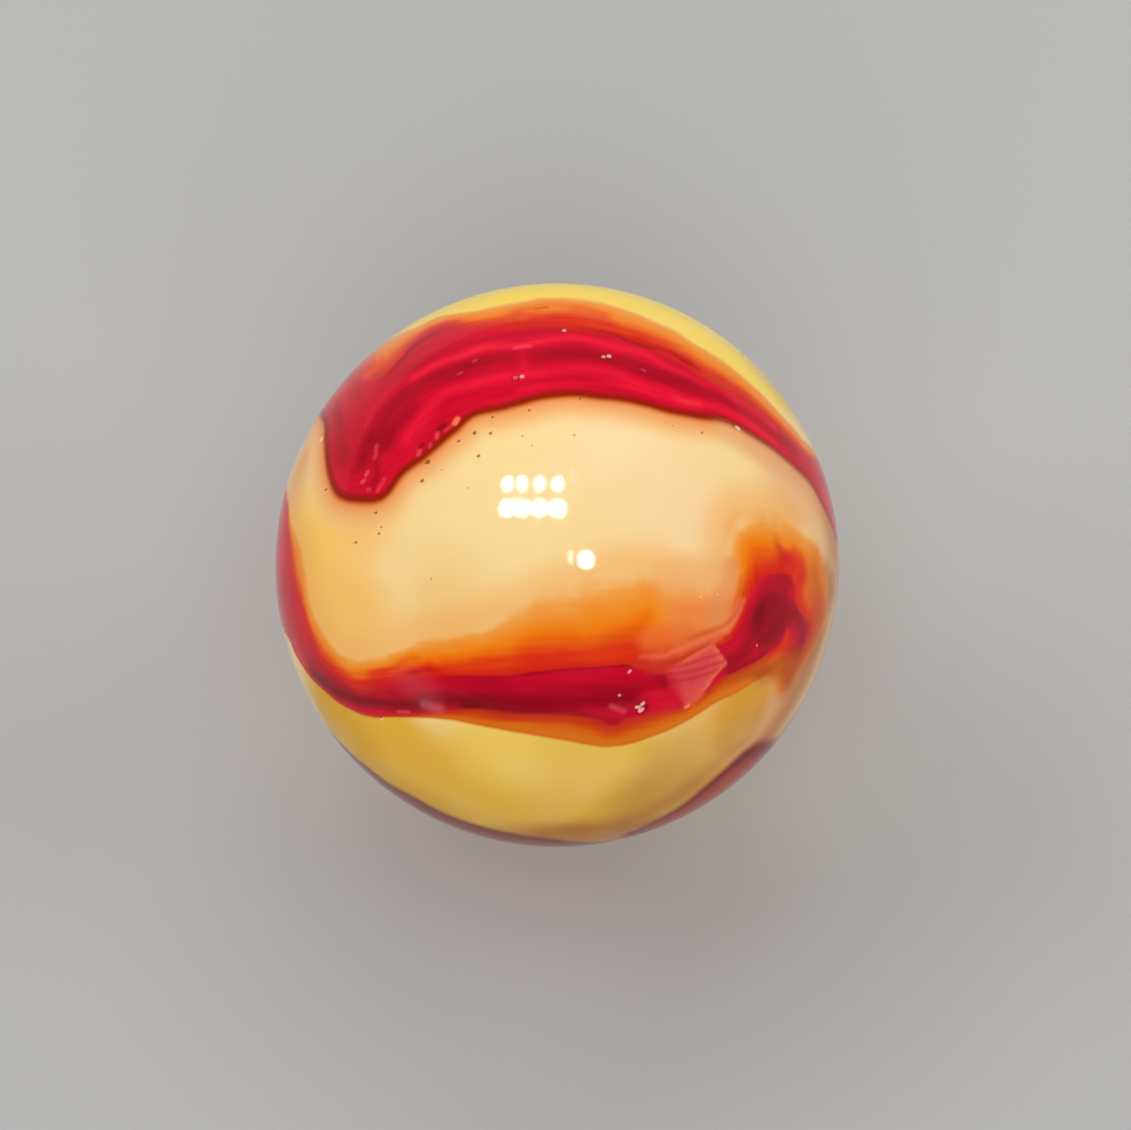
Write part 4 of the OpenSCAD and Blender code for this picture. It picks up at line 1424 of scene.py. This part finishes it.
# Each mark: right, up, side, half a stroke to the right and up, radius, soft edge, strength, colour
MARKS = [
    # bubbles under the skin, each a pale painted glint in a dark ring
    (1.36, 5.71, 1, 0.06, 0.01, 0.06, 0.09, 0.6, WINE),
    (1.28, 5.70, 1, 0, 0, 0.03, 0.05, 0.85, PAINTED_GLINT), (1.43, 5.72, 1, 0, 0, 0.04, 0.05, 1.0, PAINTED_GLINT),
    (0.2, 6.45, 1, 0, 0, 0.05, 0.08, 0.5, WINE), (0.2, 6.45, 1, 0, 0, 0.035, 0.05, 0.9, PAINTED_GLINT),
    (-1.13, 5.11, 1, 0, 0, 0.09, 0.07, 0.5, WINE), (-1.13, 5.11, 1, 0, 0, 0.05, 0.05, 0.75, PINK),
    (-0.95, 5.14, 1, 0, 0, 0.035, 0.05, 0.9, PAINTED_GLINT), (2.3, -3.87, 1, 0, 0, 0.15, 0.09, 0.85, WINE),
    (2.33, -3.77, 1, 0.02, 0.02, 0.03, 0.04, 0.95, PAINTED_GLINT),
    (2.2, -3.86, 1, 0.03, 0, 0.03, 0.04, 0.95, PAINTED_GLINT),
    (2.29, -3.94, 1, 0.03, 0.02, 0.04, 0.04, 0.95, PAINTED_GLINT),
    (1.7, -3.53, 1, 0, 0, 0.02, 0.04, 0.8, PAINTED_GLINT),
    (1.97, -2.88, 1, 0.02, 0.02, 0.015, 0.04, 0.8, PAINTED_GLINT),
    (5.48, -2.2, 1, 0, 0, 0.01, 0.04, 0.7, PAINTED_GLINT),
    # pale flecks in the tongue and along the ribbon
    (-4.95, 3.2, 1, 0.01, 0.06, 0.0, 0.13, 0.6, ROSE),
    (-4.97, 2.98, 1, 0.02, 0.05, 0.0, 0.12, 0.5, ROSE),
    (-5.2, 2.5, 1, 0.02, 0.03, 0.0, 0.11, 0.75, PINK),
    (-5.3, 2.29, 1, 0.03, 0.02, 0.0, 0.11, 0.7, PINK),
    (-4.85, 2.1, 1, 0.03, 0.06, 0.0, 0.12, 0.6, ROSE),
    (-4.72, 2.3, 1, 0.02, 0.05, 0.0, 0.1, 0.5, ROSE),
    (-5.14, 2.06, 1, 0.03, 0, 0.0, 0.1, 0.5, ROSE),
    (-4.55, 5.62, 1, 0.02, 0.02, 0.0, 0.07, 0.5, PINK),
    (-2.25, 5.6, 1, 0.04, 0.02, 0.0, 0.07, 0.4, PINK),
    (-2.65, 5.25, 1, 0.04, 0.02, 0.0, 0.07, 0.4, PINK),
    (2.37, 5.33, 1, 0.04, -0.02, 0.0, 0.07, 0.4, PINK),
    (-0.95, 5.98, 1, 0.2, 0.02, 0.0, 0.12, 0.5, PINK),
    (1.65, -3.9, 1, 0.16, -0.06, 0.0, 0.16, 0.4, PINK),
    (-3.4, -3.86, 1, 0.2, -0.05, 0.0, 0.28, 0.35, LILAC),
    (-4.2, -4.02, 1, 0.15, 0.0, 0.0, 0.1, 0.4, PINK),
    (-3.8, -3.35, 1, 0.2, -0.15, 0.0, 0.8, 0.13, LILAC),
    # chips and blobs along the sheared edge
    (-3.13, 3.75, 1, 0.06, 0.05, 0.0, 0.14, 0.85, WINE),
    (-3.67, 3.25, 1, 0.03, 0.03, 0.0, 0.13, 0.7, WINE),
    (-2.74, 3.91, 1, 0.03, 0.05, 0.05, 0.08, 0.95, SALMON),
    (-2.95, 3.72, 1, 0.07, 0.06, 0.0, 0.1, 0.5, ROSE),
    (-3.26, 3.52, 1, 0.01, 0.06, 0.0, 0.12, 0.75, ROSE),
    (-3.44, 3.25, 1, 0.01, 0.04, 0.0, 0.1, 0.6, ROSE),
    (-3.75, 3.05, 1, 0.01, 0.03, 0.03, 0.1, 0.7, ROSE),
    (4.97, 3.76, 1, 0.03, -0.02, 0.02, 0.06, 0.8, CREAMY),
    # bright points on the cream and the silhouette
    (3.9, -0.87, 1, 0.01, 0, 0.0, 0.04, 0.6, CREAMY),
    (4.37, -0.8, 1, 0.01, 0, 0.0, 0.04, 0.6, CREAMY),
    (-7.72, -1.82, 1, 0, 0, 0.1, 0.06, 1.0, CREAMY), (-6.57, 3.5, 1, 0, 0, 0.06, 0.06, 0.7, CREAMY),
    # a dark thread in the top orange, and the patch's bright corner
    (-0.42, 7.13, 1, 0.15, 0.02, 0.0, 0.09, 0.6, paint(0.60, 0.16, 0.04)),
    (3.55, -3.86, 1, 0.04, 0.02, 0.02, 0.06, 0.7, paint(1.0, 0.56, 0.40)),
]
colour = blend(tree, layer("crease"), colour, paint(0.76, 0.26, 0.06))
colour = blend(tree, layer("gleam"), colour, paint(0.96, 0.50, 0.34))
colour = spots_over(colour, object_place, MARKS)
# first the pale painted highlight on each pit's lower right wall, then brown dust with painted
# shade in its upper left
for name, shows, covers in (("pit_highlight", PIT_HIGHLIGHT_SHOWS, PIT_HIGHLIGHT_PALE), ("dust_and_shade", DUST_AND_SHADE_SHOWS, DUST_AND_SHADE_BROWN)):
    colour = blend(tree, sums(tree, "MULTIPLY", layer(name), shows), colour, covers)
tree.links.new(colour, shader.inputs["Base Color"])
print(len(MARKS), "marks,", len(tree.nodes), "nodes so far")

# %% [markdown]
# ### Gloss
# The skin is as smooth as glass gets, a little duller where fingers smudged it, speckled by
# wear too fine to see, and matt where dust lies. It only shows where a lamp is mirrored.

# %% Gloss and fine wear
CLEAN, SMUDGED = 0.05, 0.09  # roughness
SPECKLE_ROUGH, DUST_ROUGH = 0.08, 0.25  # what wear and dust add to it
SPECKLE_BUMP, SPECKLE_DEEP = 0.06, 0.01 * MM
smudge = grain(scale=420.0, detail=4.0)["Fac"]
speckle = grain(scale=5200.0, detail=3.0)["Fac"]
rough = between(tree, smudge, 0.35, 0.75, CLEAN, SMUDGED)
rough = sums(tree, "ADD", rough, between(tree, speckle, 0.55, 0.75, high=SPECKLE_ROUGH))
rough = sums(tree, "ADD", rough, sums(tree, "MULTIPLY", layer("dust_and_shade"), DUST_ROUGH))
tree.links.new(rough, shader.inputs["Roughness"])
bump = put(tree, "Bump", {"Height": speckle, "Strength": SPECKLE_BUMP, "Distance": SPECKLE_DEEP})
tree.links.new(bump.outputs[0], shader.inputs["Normal"])
shader.inputs["IOR"].default_value = 1.5
shader.inputs["Specular IOR Level"].default_value = 0.15
marble_mesh.materials.append(glass)
print("glass has", len(tree.nodes), "nodes")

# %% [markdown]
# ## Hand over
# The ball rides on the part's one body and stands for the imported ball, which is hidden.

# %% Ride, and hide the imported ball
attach(marble, "root")
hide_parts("marble")
